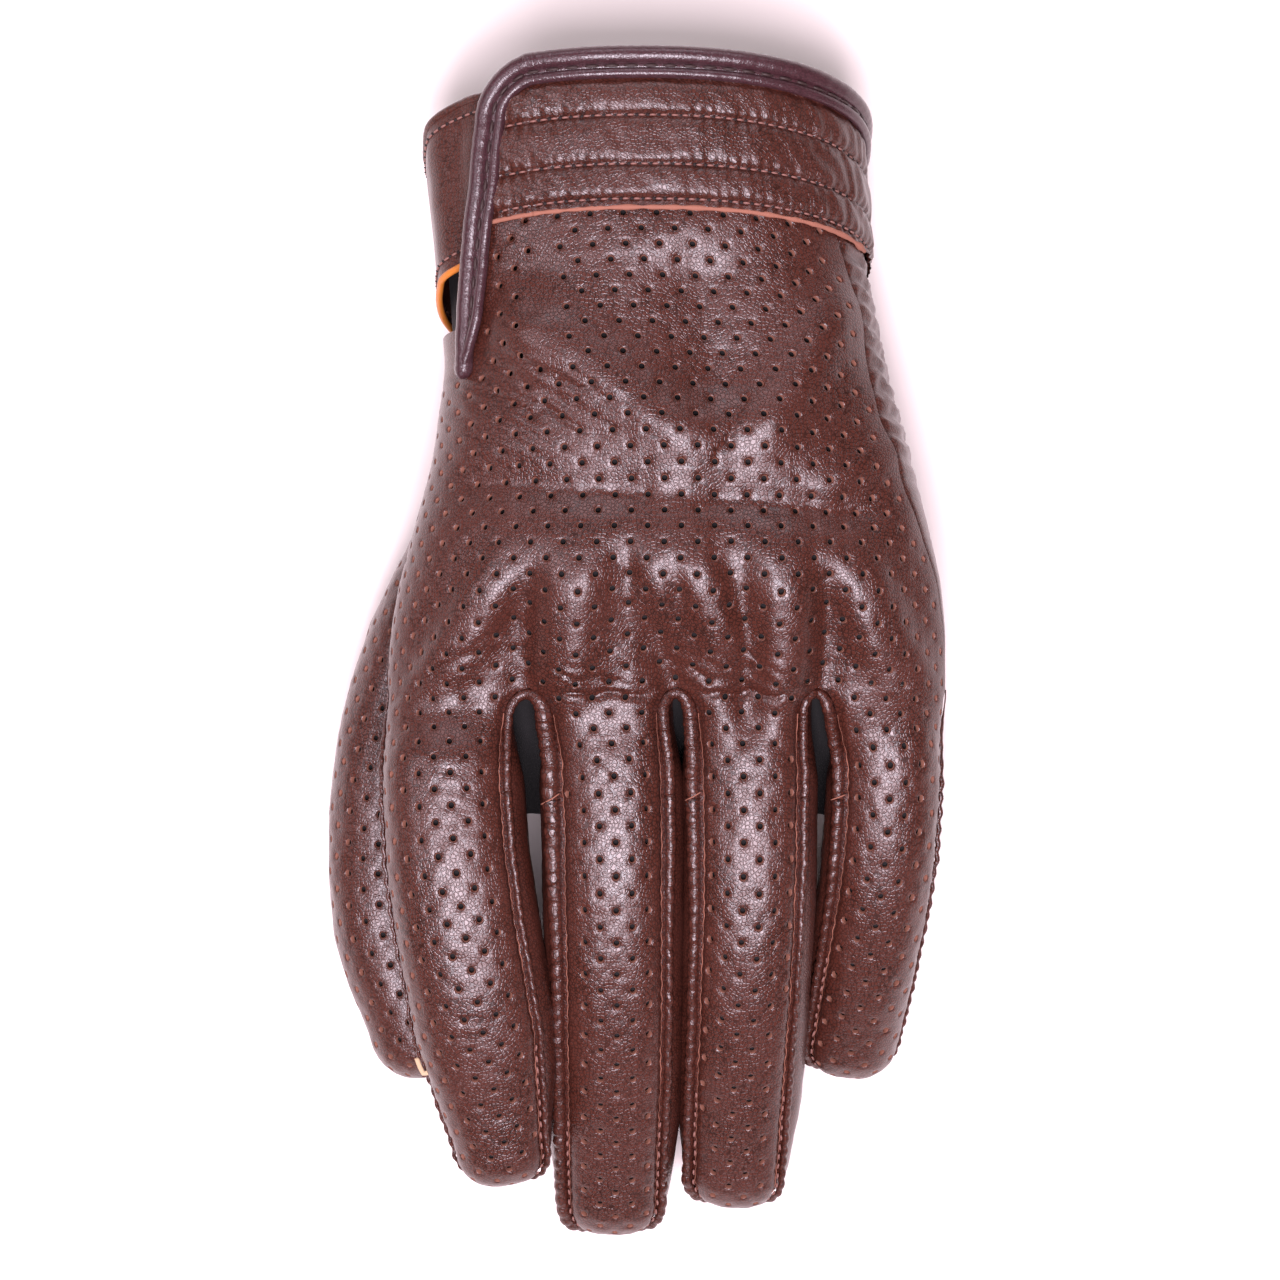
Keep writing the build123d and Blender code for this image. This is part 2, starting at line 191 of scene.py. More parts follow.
def rounded(angle):
    """Cosine and sine of the form's cross-section, for angles in degrees."""
    c, s = np.cos(np.radians(angle)), np.sin(np.radians(angle))
    return np.sign(c) * np.abs(c) ** (2 / FORM_POWER), np.sign(s) * np.abs(s) ** (2 / FORM_POWER)


def lengths_along(path):
    """How far along a path each of its points is."""
    steps = np.linalg.norm(np.diff(path, axis=0), axis=1)
    return np.concatenate([[0], np.cumsum(steps)])


def points_at(at, lengths, path):
    """The points at some distances along a path, whose own points are at the given lengths."""
    return np.stack([np.interp(at, lengths, column) for column in path.T], axis=-1)


class ArcTable:
    """Turns a distance round a cross-section, from its top, into an angle."""

    def __init__(self, aspect):
        self.angles = np.linspace(-90, 270, 1441)
        c, s = rounded(self.angles)
        steps = np.hypot(np.diff(c), np.diff(s) * aspect)
        lengths = np.concatenate([[0], np.cumsum(steps)])
        top = np.interp(90, self.angles, lengths)
        self.lengths = lengths - top

    def angle(self, share):
        """The share is of the half width; it falls towards the thumb's side."""
        return np.interp(-share, self.lengths, self.angles)

    def share(self, angle):
        return -np.interp(angle, self.angles, self.lengths)


def rounded_table(table, reach):
    """A function that interpolates a table's columns by its first, with its corners rounded off."""
    grid = np.arange(table[0, 0], table[-1, 0] + 0.5, 0.5)
    kernel = np.exp(-np.linspace(-2, 2, int(reach * 4) + 1) ** 2)
    kernel /= kernel.sum()
    pad = len(kernel) // 2
    columns = []
    for column in table.T[1:]:
        dense = np.interp(grid, table[:, 0], column)
        padded = np.pad(dense, pad, mode="reflect", reflect_type="odd")
        columns.append(np.convolve(padded, kernel, mode="valid"))
    return lambda at: [np.interp(at, grid, column) for column in columns]


def normals_of(point, v, angle):
    """Unit normals of a surface function, by small steps along and round it."""
    along = point(v + 0.25, angle) - point(v - 0.25, angle)
    around = point(v, angle + 0.4) - point(v, angle - 0.4)
    normal = np.cross(along, around)
    return normal / np.maximum(np.linalg.norm(normal, axis=-1, keepdims=True), 1e-9)


def bump(x, y, cx, cy, wide, long, power=2.4):
    """A pillow of height 1 at a point of the back of the hand."""
    return np.exp(-np.abs((x - cx) / wide) ** power - np.abs((y - cy) / long) ** power)


def ridge(x, y, start, end, width, power=2.0):
    """A ridge of height 1 between two points, tapering at its ends; a low power makes it sharp."""
    (ax, ay), (bx, by) = start, end
    dx, dy = bx - ax, by - ay
    t = ((x - ax) * dx + (y - ay) * dy) / (dx * dx + dy * dy)
    inside = np.clip(t, 0, 1)
    away = np.hypot(x - ax - inside * dx, y - ay - inside * dy)
    fade = smoothstep(-0.05, 0.25, t) * (1 - smoothstep(0.75, 1.05, t))
    return np.exp(-((away / width) ** power)) * fade


def ripples(x, y, seed, wavelength, count=14):
    """Soft random undulation between about -1 and 1, the same on every run."""
    random = np.random.default_rng(seed)
    total = 0
    for _ in range(count):
        heading = random.uniform(0, pi)
        size = wavelength * random.uniform(0.7, 1.5)
        phase = random.uniform(0, 2 * pi)
        total = total + np.sin(2 * pi * (x * cos(heading) + y * sin(heading)) / size + phase)
    return total / count**0.5 / 1.4


# x, y, half width, half length, height and lean of what lies under the leather at the knuckles
KNUCKLES = (
    (-30.5, 1.0, 5.4, 14.5, 2.2, 0.6),
    (-13.0, 2.0, 6.2, 16.0, 2.6, 0.16),
    (2.2, 10.0, 3.5, 8.0, 1.6, 0.05),
    (11.8, 7.0, 4.0, 11.0, 1.8, -0.36),
    (25.4, 2.5, 5.5, 16.0, 2.5, -0.1),
    (42.0, 1.5, 5.8, 15.0, 2.4, -0.45),
)
# start, end, width and height of the broad folds of the back of the hand
FOLDS = (
    ((-27, 60), (15, 31), 6.2, 2.7),
    ((-26, 58), (-14, 44), 4.0, 0.7),
    ((38, 62), (18, 31), 5.2, 2.3),
    ((-38, 28), (8, 25), 4.6, -2.4),
    ((4, 25), (46, 22), 4.4, -2.5),
    ((8, 70), (15, 38), 9.5, -2.2),
    ((-20, 68), (-18, 54), 5.0, -0.7),
    ((30, 24), (48, 36), 3.2, 0.9),
)
# start, end, width and depth of the valleys that run down between the knuckles into the clefts
VALLEYS = (
    ((-21.0, 19), (-19.6, -9), 4.4, 3.5),
    ((-3.6, 19), (5.8, -9), 4.1, 3.2),
    ((17.6, 19), (18.6, -9), 3.2, 1.8),
    ((34.0, 19), (31.2, -9), 4.1, 3.2),
)
# start, end, width and depth of the sharp creases
CREASES = (
    ((-16, -9.0), (3.0, -9.8), 0.8, -0.8),
    ((9.5, -9.5), (28.5, -9.6), 0.8, -0.8),
    ((-15, -6.0), (-2, -7.2), 0.6, -0.4),
    ((8, -5.0), (18, -8.5), 0.6, -0.5),
    ((-44, -12), (-26, 1), 0.9, -0.4),
    ((13, 30), (18, 42), 0.6, -0.35),
    ((-30, 44), (-10, 37), 0.7, -0.4),
    ((-24, 50), (-2, 40), 0.6, -0.35),
)


def hand_relief(x, y):
    """How far the back's leather stands out over knuckles, folds and small creases."""
    height = 0.1 * ripples(x, y, 3, 13) + 0.05 * ripples(x, y, 4, 4.5)
    for cx, cy, wide, long, rise, lean in KNUCKLES:
        height = height + rise * bump(x - lean * (y - cy), y, cx, cy, wide, long, 3.0)
    for start, end, width, rise in FOLDS:
        height = height + rise * ridge(x, y, start, end, width, 2.0 if rise > 0 else 1.6)
    for (start_x, start_y), (end_x, end_y), width, depth in VALLEYS:
        down = np.clip((start_y - y) / (start_y - end_y), 0, 1.2)
        middle = start_x + (end_x - start_x) * down
        slope = down * smoothstep(0, 0.35, down)
        height = height - depth * slope * np.exp(-np.abs((x - middle) / width) ** 1.8)
    wavy_x, wavy_y = x + 0.5 * ripples(x, y, 6, 6), y + 0.55 * ripples(x, y, 7, 5)
    for start, end, width, rise in CREASES:
        height = height + rise * ridge(wavy_x, wavy_y, start, end, width)
    stretched = bump(x, y, -20, 41, 14, 9) + bump(x, y, -8, -6, 12, 4) + bump(x, y, 18, -6, 11, 4)
    height = height + 0.15 * stretched * np.sin((x * 0.55 + y) * 2 * pi / 2.9 + 1.5 * ripples(x, y, 8, 6))
    return height


class HandForm:
    """The hand's surface from the crotch of the fingers to the cuff's rim."""

    def __init__(self):
        self.section = rounded_table(HAND, 5)
        self.arc = ArcTable(aspect=0.55)

    def smooth_point(self, v, angle):
        c, s = rounded(angle)
        slope = RIM_SLOPE * smoothstep(8, 62, v) + 0.09 * smoothstep(74, 100, v)
        arch = RIM_ARCH * smoothstep(50, 76, v)
        thumb_side = smoothstep(0, 1, (0.3 - np.cos(np.radians(angle))) / 1.2)
        y = v
        for _ in range(3):
            x, half, top, low_little, low_thumb = self.section(y)
            bottom = low_little + (low_thumb - low_little) * thumb_side
            middle = (top + low_little) / 2
            z = middle + np.where(s > 0, top - middle, middle - bottom) * s
            y = v - slope * (WRIST_TOP - z) - arch * (c * np.sign(s + 0.3)) ** 2
        return np.stack(np.broadcast_arrays(x + half * c, y, z), axis=-1)

    def point(self, v, angle, lift=0.0):
        v, angle, lift = np.broadcast_arrays(np.asarray(v, float), angle, lift)
        base = self.smooth_point(v, angle)
        normal = normals_of(self.smooth_point, v, angle)
        on_back = smoothstep(-0.1, 0.35, np.sin(np.radians(angle)))
        height = hand_relief(base[..., 0], base[..., 1]) * on_back + lift
        return base + normal * height[..., None]

    def half_width(self, v):
        return self.section(v)[1]

    def angle(self, v, s):
        return self.arc.angle(s / self.half_width(v))

    def s(self, v, angle):
        return self.arc.share(angle) * self.half_width(v)

    def place(self, v, s, lift=0.0):
        return self.point(v, self.angle(v, s), lift)


HAND_FORM = HandForm()


def angle_at_x(v, x):
    """The angle on the back of the hand that is over x."""
    centre, half = HAND_FORM.section(v)[:2]
    share = (x - centre) / half
    return float(np.degrees(np.arccos(np.sign(share) * abs(share) ** (FORM_POWER / 2))))


class TubeForm:
    """A finger's or the thumb's surface, which grows out of the hand's at the crotch."""

    def __init__(self, shape, start=0.0, grows_from_hand=True):
        points = np.array(shape["line"], float)
        dense = []
        ends = np.vstack([2 * points[0] - points[1], points, 2 * points[-1] - points[-2]])
        for i in range(1, len(ends) - 2):
            p0, p1, p2, p3 = ends[i - 1 : i + 3]
            for t in np.linspace(0, 1, CURVE_STEPS, endpoint=False):
                bend = (2 * p0 - 5 * p1 + 4 * p2 - p3) * t**2 + (3 * p1 - p0 - 3 * p2 + p3) * t**3
                dense.append(p1 + 0.5 * ((p2 - p0) * t + bend))
        self.path = np.array(dense + [points[-1]])
        self.along = lengths_along(self.path)
        self.length = self.along[-1]
        self.tangents = np.gradient(self.path, self.along, axis=0)
        self.shape = shape
        self.tip = shape["width"][-1]
        self.start = start
        self.end_d = self.length - start + self.tip * pi / 2
        self.grows = grows_from_hand
        self.arc = ArcTable(aspect=1.0)
        self.low_angle, self.high_angle = shape["back"]
        if grows_from_hand:
            self.centre_s = float(HAND_FORM.s(CROTCH, angle_at_x(CROTCH, points[0][0])))

    def smooth_point(self, v, angle):
        """The tube's own surface, with a rounded tip."""
        d = CROTCH - v + self.start
        over = np.clip((d - self.length) / self.tip, 0, pi / 2)
        rise = np.sin(over)
        shrink = np.maximum(1 - rise**2.4, 0) ** (1 / 2.4)
        place = np.clip(d, 0, self.length)
        centre = points_at(place, self.along, self.path)
        forward = points_at(place, self.along, self.tangents)
        forward /= np.linalg.norm(forward, axis=-1, keepdims=True)
        extra = np.minimum(d, 0) + rise * self.tip
        centre = centre + forward * extra[..., None]
        side = np.cross([0, 0, 1], forward)
        side /= np.linalg.norm(side, axis=-1, keepdims=True)
        up = np.cross(forward, side)
        share = place / self.length * (len(self.shape["width"]) - 1)
        knots = np.arange(len(self.shape["width"]))
        wide = np.interp(share, knots, self.shape["width"]) * shrink
        tall = np.interp(share, knots, self.shape["height"]) * shrink
        c, s = rounded(angle)
        return centre + side * (wide * c)[..., None] + up * (tall * s)[..., None]

    def width(self, v):
        """Half of the tube's width, before its tip rounds off."""
        share = np.clip(CROTCH - v + self.start, 0, self.length) / self.length
        widths = self.shape["width"]
        return np.interp(share * (len(widths) - 1), np.arange(len(widths)), widths)

    def angle(self, v, s):
        return self.arc.angle(s / self.width(v))

    def s(self, v, angle):
        return self.arc.share(angle) * self.width(v)

    def point(self, v, angle, lift=0.0):
        v, angle, lift = np.broadcast_arrays(np.asarray(v, float), angle, lift)
        base = self.smooth_point(v, angle)
        normal = normals_of(self.smooth_point, v, angle)
        height = lift + self.relief(v, angle)
        return base + normal * height[..., None]

    def relief(self, v, angle):
        """Soft unevenness of a filled finger, with small gathers near the back leather's borders."""
        s = self.s(v, angle)
        seed = int(abs(self.length * 10)) % 1000
        height = 0.1 * ripples(s, v, seed, 9) + 0.05 * ripples(s, v, seed + 1, 3.2)
        edge = np.minimum(np.abs(angle - self.low_angle), np.abs(angle - self.high_angle))
        gather = np.exp(-((edge / 10) ** 2))
        return height + 0.13 * gather * np.sin(v * 2 * pi / 2.6 + ripples(s, v, seed + 2, 8))

    def place(self, v, s, lift=0.0):
        """The back leather's surface, which starts as the hand's and turns into the tube's."""
        v, s, lift = np.broadcast_arrays(np.asarray(v, float), s, lift)
        own = self.point(v, self.angle(v, s), lift)
        if not self.grows:
            return own
        share = smoothstep(0, MERGE, CROTCH - v)[..., None]
        hand = HAND_FORM.place(v, s + self.centre_s, lift)
        return hand * (1 - share) + own * share

    def back(self, v, s, lift=0.0):
        """The back leather, turned down into the seam at its borders."""
        low, high = self.edges(v)
        inside = np.minimum(s - low, high - s)
        depth = SEAM_DEPTH * np.exp(-((inside / 0.9) ** 2)) * smoothstep(0, 3, CROTCH - v)
        return self.place(v, s, lift - depth)

    def edges(self, v):
        """The back leather's two borders, as distances from the finger's top line."""
        low, high = self.s(v, self.high_angle), self.s(v, self.low_angle)
        if not self.grows:
            return low, high
        share = smoothstep(2, 20, CROTCH - v)
        down = np.clip((CROTCH - v) / CLEFT_ARCH, 0, 1)
        arch = 1 - np.sqrt(1 - (1 - down) ** 2)
        first = self.borders[0] - self.centre_s - self.notches[0] * arch
        last = self.borders[1] - self.centre_s + self.notches[1] * arch
        return first * (1 - share) + low * share, last * (1 - share) + high * share


def make_forms():
    """The fingers' forms, which share the hand's width at the crotch, less the clefts between them."""
    forms = {name: TubeForm(shape, start=2.75) for name, shape in FINGERS.items()}
    clefts = [float(HAND_FORM.s(CROTCH, angle_at_x(CROTCH, x))) for x in CROTCH_X]
    thumb_side = float(HAND_FORM.s(CROTCH, THUMB_ANGLE))
    little_side = float(HAND_FORM.s(CROTCH, side_seam_angle(CROTCH)))
    starts = [thumb_side] + [c + h for c, h in zip(clefts, CLEFT_HALF)]
    ends = [c - h for c, h in zip(clefts, CLEFT_HALF)] + [little_side]
    for number, form in enumerate(forms.values()):
        form.borders = (starts[number], ends[number])
        form.notches = ((0.0, *CLEFT_HALF)[number], (*CLEFT_HALF, 0.0)[number])
    return forms


def flap_angle(v):
    """Where round the wrist the closure flap's bound edge lies."""
    return np.interp(v, [48, 60, 70, 81, 93, 104], [149, 145.3, 141, 134.4, 129.7, 127])


def side_seam_angle(v):
    """Where the back leather meets the side panel: it climbs to mid hand, then into the cuff."""
    return 10 + 20 * smoothstep(-9, 45, v) + 8 * smoothstep(66, 80, v)


FINGER_FORMS = make_forms()
THUMB_FORM = TubeForm(THUMB, start=15.5, grows_from_hand=False)
SPLIT = CROTCH - 18.0  # v at which a finger's two pieces meet
THUMB_BEND = ("hand", "thumb", (-34, 14, 14), (-38, -10, 14))  # where the thumb starts to swing; no piece swings about it


# Meshes ------------------------------------------------------------------------------------------


def to_row(points):
    """Millimetres on the form to metres in the row frame."""
    return (np.asarray(points, float) + FORM_ORIGIN) * 0.001


def piece(name, points, faces, materials, chart=None, normals=None, marks=None, body="hand"):
    """A smooth-shaded mesh on a named body, or left in the row frame for a bend. The chart is each vertex's
    place on the leather.
    """
    mesh = bpy.data.meshes.new(name)
    mesh.from_pydata(to_row(points).tolist(), [], [list(map(int, f)) for f in faces])
    for material in materials:
        mesh.materials.append(material)
    mesh.polygons.foreach_set("use_smooth", [True] * len(mesh.polygons))
    if marks is not None:
        mesh.polygons.foreach_set("material_index", marks)
    if chart is not None:
        corners = np.zeros(len(mesh.loops), np.int32)
        mesh.loops.foreach_get("vertex_index", corners)
        layer = mesh.uv_layers.new(name="leather")
        layer.data.foreach_set("uv", (np.asarray(chart)[corners] * 0.001).astype(np.float32).ravel())
    mesh.update()
    if normals is not None:
        mesh.normals_split_custom_set_from_vertices([tuple(n) for n in normals])
    made = bpy.data.objects.new(name, mesh)
    bpy.context.scene.collection.objects.link(made)
    if isinstance(body, tuple):
        start, end = (Vector(to_row(p)) for p in body[2:])
        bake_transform(made)
    else:
        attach(made, body)
    return made


def knuckle_bend(name):
    """Names and axis of the bend between the hand and a finger's first length; no piece bends about it."""
    x, _, z = FINGERS[name]["line"][0]
    return ("hand", f"{name}_base", (x, CROTCH, z), (x, CROTCH - 15, z))


def middle_bend(name):
    """Names and axis of the bend between a finger's two lengths; no piece bends about it."""
    body = [j for j in frame["joints"] if j["name"] == f"{name}_middle_fold"][0]
    x, y, z = np.array(body["pos_m"]) * 1000 - FORM_ORIGIN
    return (f"{name}_base", f"{name}_end", (x, y + 9, z), (x, y - 9, z))


def quads(rows, columns):
    """The faces of a grid of points, row by row."""
    first = (np.arange(rows - 1)[:, None] * columns + np.arange(columns - 1)).ravel()
    return np.stack([first, first + 1, first + columns + 1, first + columns], axis=1)


def grid_parts(points, s, v, kind):
    """What piece() needs for a grid of points: points, faces, materials and chart."""
    chart = np.stack(np.broadcast_arrays(s, v), axis=-1).reshape(-1, 2)
    return points.reshape(-1, 3), quads(*points.shape[:2]), [material(kind)], chart


def strip_parts(point, v_values, angles, kind, columns=40):
    """The same for a plain strip over a form; angles is a pair, or one pair for each v."""
    v_values = np.asarray(v_values, float)
    pairs = np.broadcast_to(np.asarray(angles, float), (len(v_values), 2))
    v = np.repeat(v_values[:, None], columns, axis=1)
    angle = pairs[:, :1] + (pairs[:, 1:] - pairs[:, :1]) * np.linspace(0, 1, columns)
    points = point(v, angle, 0.0)
    steps = np.linalg.norm(np.diff(points, axis=1), axis=2)
    across = np.concatenate([np.zeros((len(v), 1)), np.cumsum(steps, 1)], 1)
    return grid_parts(points, across, v, kind)


def hole_cell(parts):
    """A square cell with a round hole: corner places from 0 to 1, depths, quads and their marks."""
    edge = np.arange(parts) / parts
    near_side = [(t, 0) for t in edge] + [(1, t) for t in edge]
    far_side = [(1 - t, 1) for t in edge] + [(0, 1 - t) for t in edge]
    border = np.array(near_side + far_side, float)
    heading = np.arctan2((border[:, 1] - 0.5) * CELL_V, (border[:, 0] - 0.5) * CELL_S)
    rings = [border]
    depths = [0.0]
    for radius, depth in HOLE_RINGS:
        across = 0.5 + radius * np.cos(heading) / CELL_S
        along = 0.5 + radius * np.sin(heading) / CELL_V
        rings.append(np.stack([across, along], axis=1))
        depths.append(depth)
    n = len(border)
    faces, marks = [], []
    for ring in range(len(rings) - 1):
        for i in range(n):
            j = (i + 1) % n
            faces.append((ring * n + i, ring * n + j, ring * n + n + j, ring * n + n + i))
            marks.append(1 if ring >= 2 else 0)
    return np.vstack(rings), np.repeat(depths, n), np.array(faces), marks


def solid_cell(parts):
    """A square cell without a hole, in the same terms."""
    t = np.linspace(0, 1, parts + 1)
    places = np.stack([np.tile(t, parts + 1), np.repeat(t, parts + 1)], axis=1)
    faces = quads(parts + 1, parts + 1)
    return places, np.zeros(len(places)), faces, [0] * len(faces)


def punched_cells(rows, edges, phase):
    """The cells between two borders: each vertex's v, s and depth, the quads and the quads' marks."""
    cells = {True: hole_cell(4), False: solid_cell(4)}
    spread = np.array([edges(CROTCH + r * CELL_V) for r in range(rows[0], rows[1] + 1)])
    first = int(np.floor((spread.min() + phase) / CELL_S))
    last = int(np.ceil((spread.max() + phase) / CELL_S))
    all_v, all_s, all_depths, all_faces, all_marks = [], [], [], [], []
    count = 0
    for row in range(rows[0], rows[1]):
        low, high = edges(CROTCH + (row + 0.5) * CELL_V)
        for column in range(first, last):
            middle = (column + 0.5) * CELL_S - phase
            if middle + CELL_S < low - 2 or middle - CELL_S > high + 2:
                continue
            inside = low + HOLE_MARGIN < middle < high - HOLE_MARGIN
            places, depths, faces, marks = cells[(row + column) % 2 == 0 and inside]
            all_v.append(CROTCH + (row + places[:, 1]) * CELL_V)
            all_s.append((column + places[:, 0]) * CELL_S - phase)
            all_depths.append(depths)
            all_faces.append(faces + count)
            all_marks += marks
            count += len(places)
    v, s, depth = np.concatenate(all_v), np.concatenate(all_s), np.concatenate(all_depths)
    return v, np.clip(s, *edges(v)), depth, np.concatenate(all_faces), all_marks


def welded(v, s, depth, faces, marks):
    """The same cells with their shared vertices joined, and without faces that a border flattened."""
    keys = np.round(np.stack([v, s, depth], axis=1) * 2000).astype(np.int64)
    _, kept, joined = np.unique(keys, axis=0, return_index=True, return_inverse=True)
    good_faces, good_marks = [], []
    for face, mark in zip(joined.ravel()[faces].tolist(), marks):
        corners = list(dict.fromkeys(face))
        if len(corners) > 2:
            good_faces.append(corners)
            good_marks.append(mark)
    return v[kept], s[kept], depth[kept], good_faces, good_marks


def upward_normals(place, v, s, step=0.3):
    """Unit normals of a leather's surface, by small steps along and across it."""
    along = place(v + step, s) - place(v - step, s)
    around = place(v, s + step) - place(v, s - step)
    normal = np.cross(along, around)
    normal *= np.sign(normal[:, 2:].mean())
    return normal / np.maximum(np.linalg.norm(normal, axis=1, keepdims=True), 1e-9)


def perforated(name, place, rows, edges, phase, body):
    """Leather with real holes on a staggered lattice, cut off at its edges.

    rows are the first and last row of cells, counted from the crotch; edges gives the two borders
    at a v, and phase the distance from the lattice's own zero to the form's."""
    v, s, depth, faces, marks = welded(*punched_cells(rows, edges, phase))
    normal = upward_normals(place, v, s)
    normal[depth > 0] = 0  # a zero normal is worked out from the faces instead
    chart = np.stack([s + phase, v], axis=1)
    materials = [material("perforated_leather"), material("hole_edge")]
    return piece(name, place(v, s, -depth), faces, materials, chart, normal, marks, body)


def tube_points(path, radius, sides=12, squash=1.0):
    """Points and quads of a tube along a path; radius may be one number or one for each point."""
    path = np.asarray(path, float)
    tangent = np.gradient(path, axis=0)
    tangent /= np.maximum(np.linalg.norm(tangent, axis=1, keepdims=True), 1e-9)
    normal = np.cross(tangent, [0, 0, 1])
    normal /= np.maximum(np.linalg.norm(normal, axis=1, keepdims=True), 1e-9)
    up = np.cross(normal, tangent)
    turn = np.linspace(0, 2 * pi, sides, endpoint=False)
    radius = np.asarray(radius, float)
    if radius.ndim < 2:
        radius = np.broadcast_to(radius, len(path))[:, None]
    radius = np.broadcast_to(radius, (len(path), sides))[..., None]
    ring = normal[:, None] * np.cos(turn)[None, :, None] + up[:, None] * np.sin(turn)[None, :, None] * squash
    points = path[:, None] + ring * radius
    faces = []
    for i in range(len(path) - 1):
        for k in range(sides):
            j = (k + 1) % sides
            faces.append((i * sides + k, i * sides + j, (i + 1) * sides + j, (i + 1) * sides + k))
    faces.append(tuple(range(sides))[::-1])
    faces.append(tuple((len(path) - 1) * sides + k for k in range(sides)))
    around = np.tile(turn, len(path)) * radius.mean()
    chart = np.stack([around, np.repeat(lengths_along(path), sides)], axis=1)
    return points.reshape(-1, 3), faces, chart


def roll(name, path, radius, kind, body="hand", gathers=0.0, squash=1.0, pitch=2.1):
    """A rolled leather edge along a path, with gathers running round it at a slant."""
    step, sides = 0.4, 14
    path = even_path(path, step)
    along = np.arange(len(path)) * step
    random = np.random.default_rng(len(name) * 7)
    phase = np.cumsum(random.normal(0, 0.22, len(path)))
    given = np.atleast_1d(radius)
    size = np.interp(np.linspace(0, 1, len(path)), np.linspace(0, 1, len(given)), given)[:, None]
    turn = np.linspace(0, 2 * pi, sides, endpoint=False)
    slant = 1.1 * np.sin(turn + random.uniform(0, 2 * pi))
    depth = gathers * (0.65 + 0.35 * np.sin(along / 3.7 + phase))[:, None]
    fold = np.sin((along * 2 * pi / pitch + phase)[:, None] + slant)
    size = size * (1 + depth * fold)
    points, faces, chart = tube_points(path, size, sides, squash)
    return piece(name, points, faces, [material(kind)], chart, body=body)


def even_path(path, step):
    """A path's points again, evenly spaced."""
    path = np.asarray(path, float)
    lengths = lengths_along(path)
    at = np.linspace(0, lengths[-1], max(3, int(lengths[-1] / step) + 1))
    return points_at(at, lengths, path)


def joined(tubes):
    """Several tubes' points, faces and charts as one mesh's."""
    faces, count = [], 0
    for points, own_faces, _ in tubes:
        faces += [tuple(i + count for i in face) for face in own_faces]
        count += len(points)
    return np.vstack([tube[0] for tube in tubes]), faces, np.vstack([tube[2] for tube in tubes])


def stitches(name, path, kind, length, pitch, radius, body="hand"):
    """A row of sewn stitches: short rounded threads along a path, each dipping in at its ends."""
    path = even_path(path, SEWN_STEP)
    lengths = lengths_along(path)
    random = np.random.default_rng(len(name) * 13)
    arch = np.sin(np.linspace(0, pi, 7))
    rise = (arch * 0.28 - 0.16)[:, None] * [0, 0, 1]
    tubes = []
    for start in np.arange(FIRST_STITCH, lengths[-1] - length, pitch):
        at = start + np.linspace(0, 1, 7) * length * random.uniform(0.9, 1.06)
        line = points_at(at, lengths, path) + rise
        tubes.append(tube_points(line, radius * (0.45 + 0.55 * arch**0.5), sides=8))
    points, faces, chart = joined(tubes)
    return piece(name, points, faces, [material(kind)], chart, body=body)


def needle_holes(name, path, pitch, radius=0.3, body="hand"):
    """The dimples in which a row of stitches goes through the leather, painted near black as the shade in
    them.
    """
    path = even_path(path, SEWN_STEP)
    lengths = lengths_along(path)
    first = FIRST_STITCH + 0.86 * min(pitch, 0.4 * lengths[-1])
    tubes = []
    for middle in np.arange(first, lengths[-1] - 0.1, pitch):
        at = middle + np.linspace(-0.5, 0.5, 5) * radius * 2
        radii = radius * np.array([0.3, 0.9, 1, 0.9, 0.3])
        tubes.append(tube_points(points_at(at, lengths, path), radii, sides=8, squash=0.35))
    points, faces, chart = joined(tubes)
    # the near-black colour is painted shade inside the holes
    made = piece(name, points, faces, [material("needle_hole_shade")], chart, body=body)
    return made


# Materials ---------------------------------------------------------------------------------------


def linear(hex_colour):
    """An sRGB hex colour as linear RGBA."""
    parts = [int(hex_colour[i : i + 2], 16) / 255 for i in (1, 3, 5)]
    return [p / 12.92 if p <= 0.04045 else ((p + 0.055) / 1.055) ** 2.4 for p in parts] + [1.0]


def add(tree, kind, inputs=(), **settings):
    """Adds a shader node with its settings, and links or sets its inputs."""
    made = tree.nodes.new("ShaderNode" + kind)
    for key, value in settings.items():
        setattr(made, key, value)
    for socket, source in dict(inputs).items():
        if isinstance(source, bpy.types.NodeSocket):
            tree.links.new(source, made.inputs[socket])
        else:
            made.inputs[socket].default_value = source
    return made


# patterns are so many to a metre of leather: grains bend over 1.1 mm, have wrinkles of 0.24 mm, and
# are paler in patches of 13 mm
BEND_SCALE, WRINKLE_SCALE, PATCH_SCALE = 900.0, 4200.0, 75.0
GRAIN_BEND = 0.0006  # how far the bends move a grain, in metres of leather
LEATHER_IOR = 1.5  # of the finish that is sprayed on the grain
FIBRE_SHARE = 0.25  # how much of a plain material's colour comes from its fibres


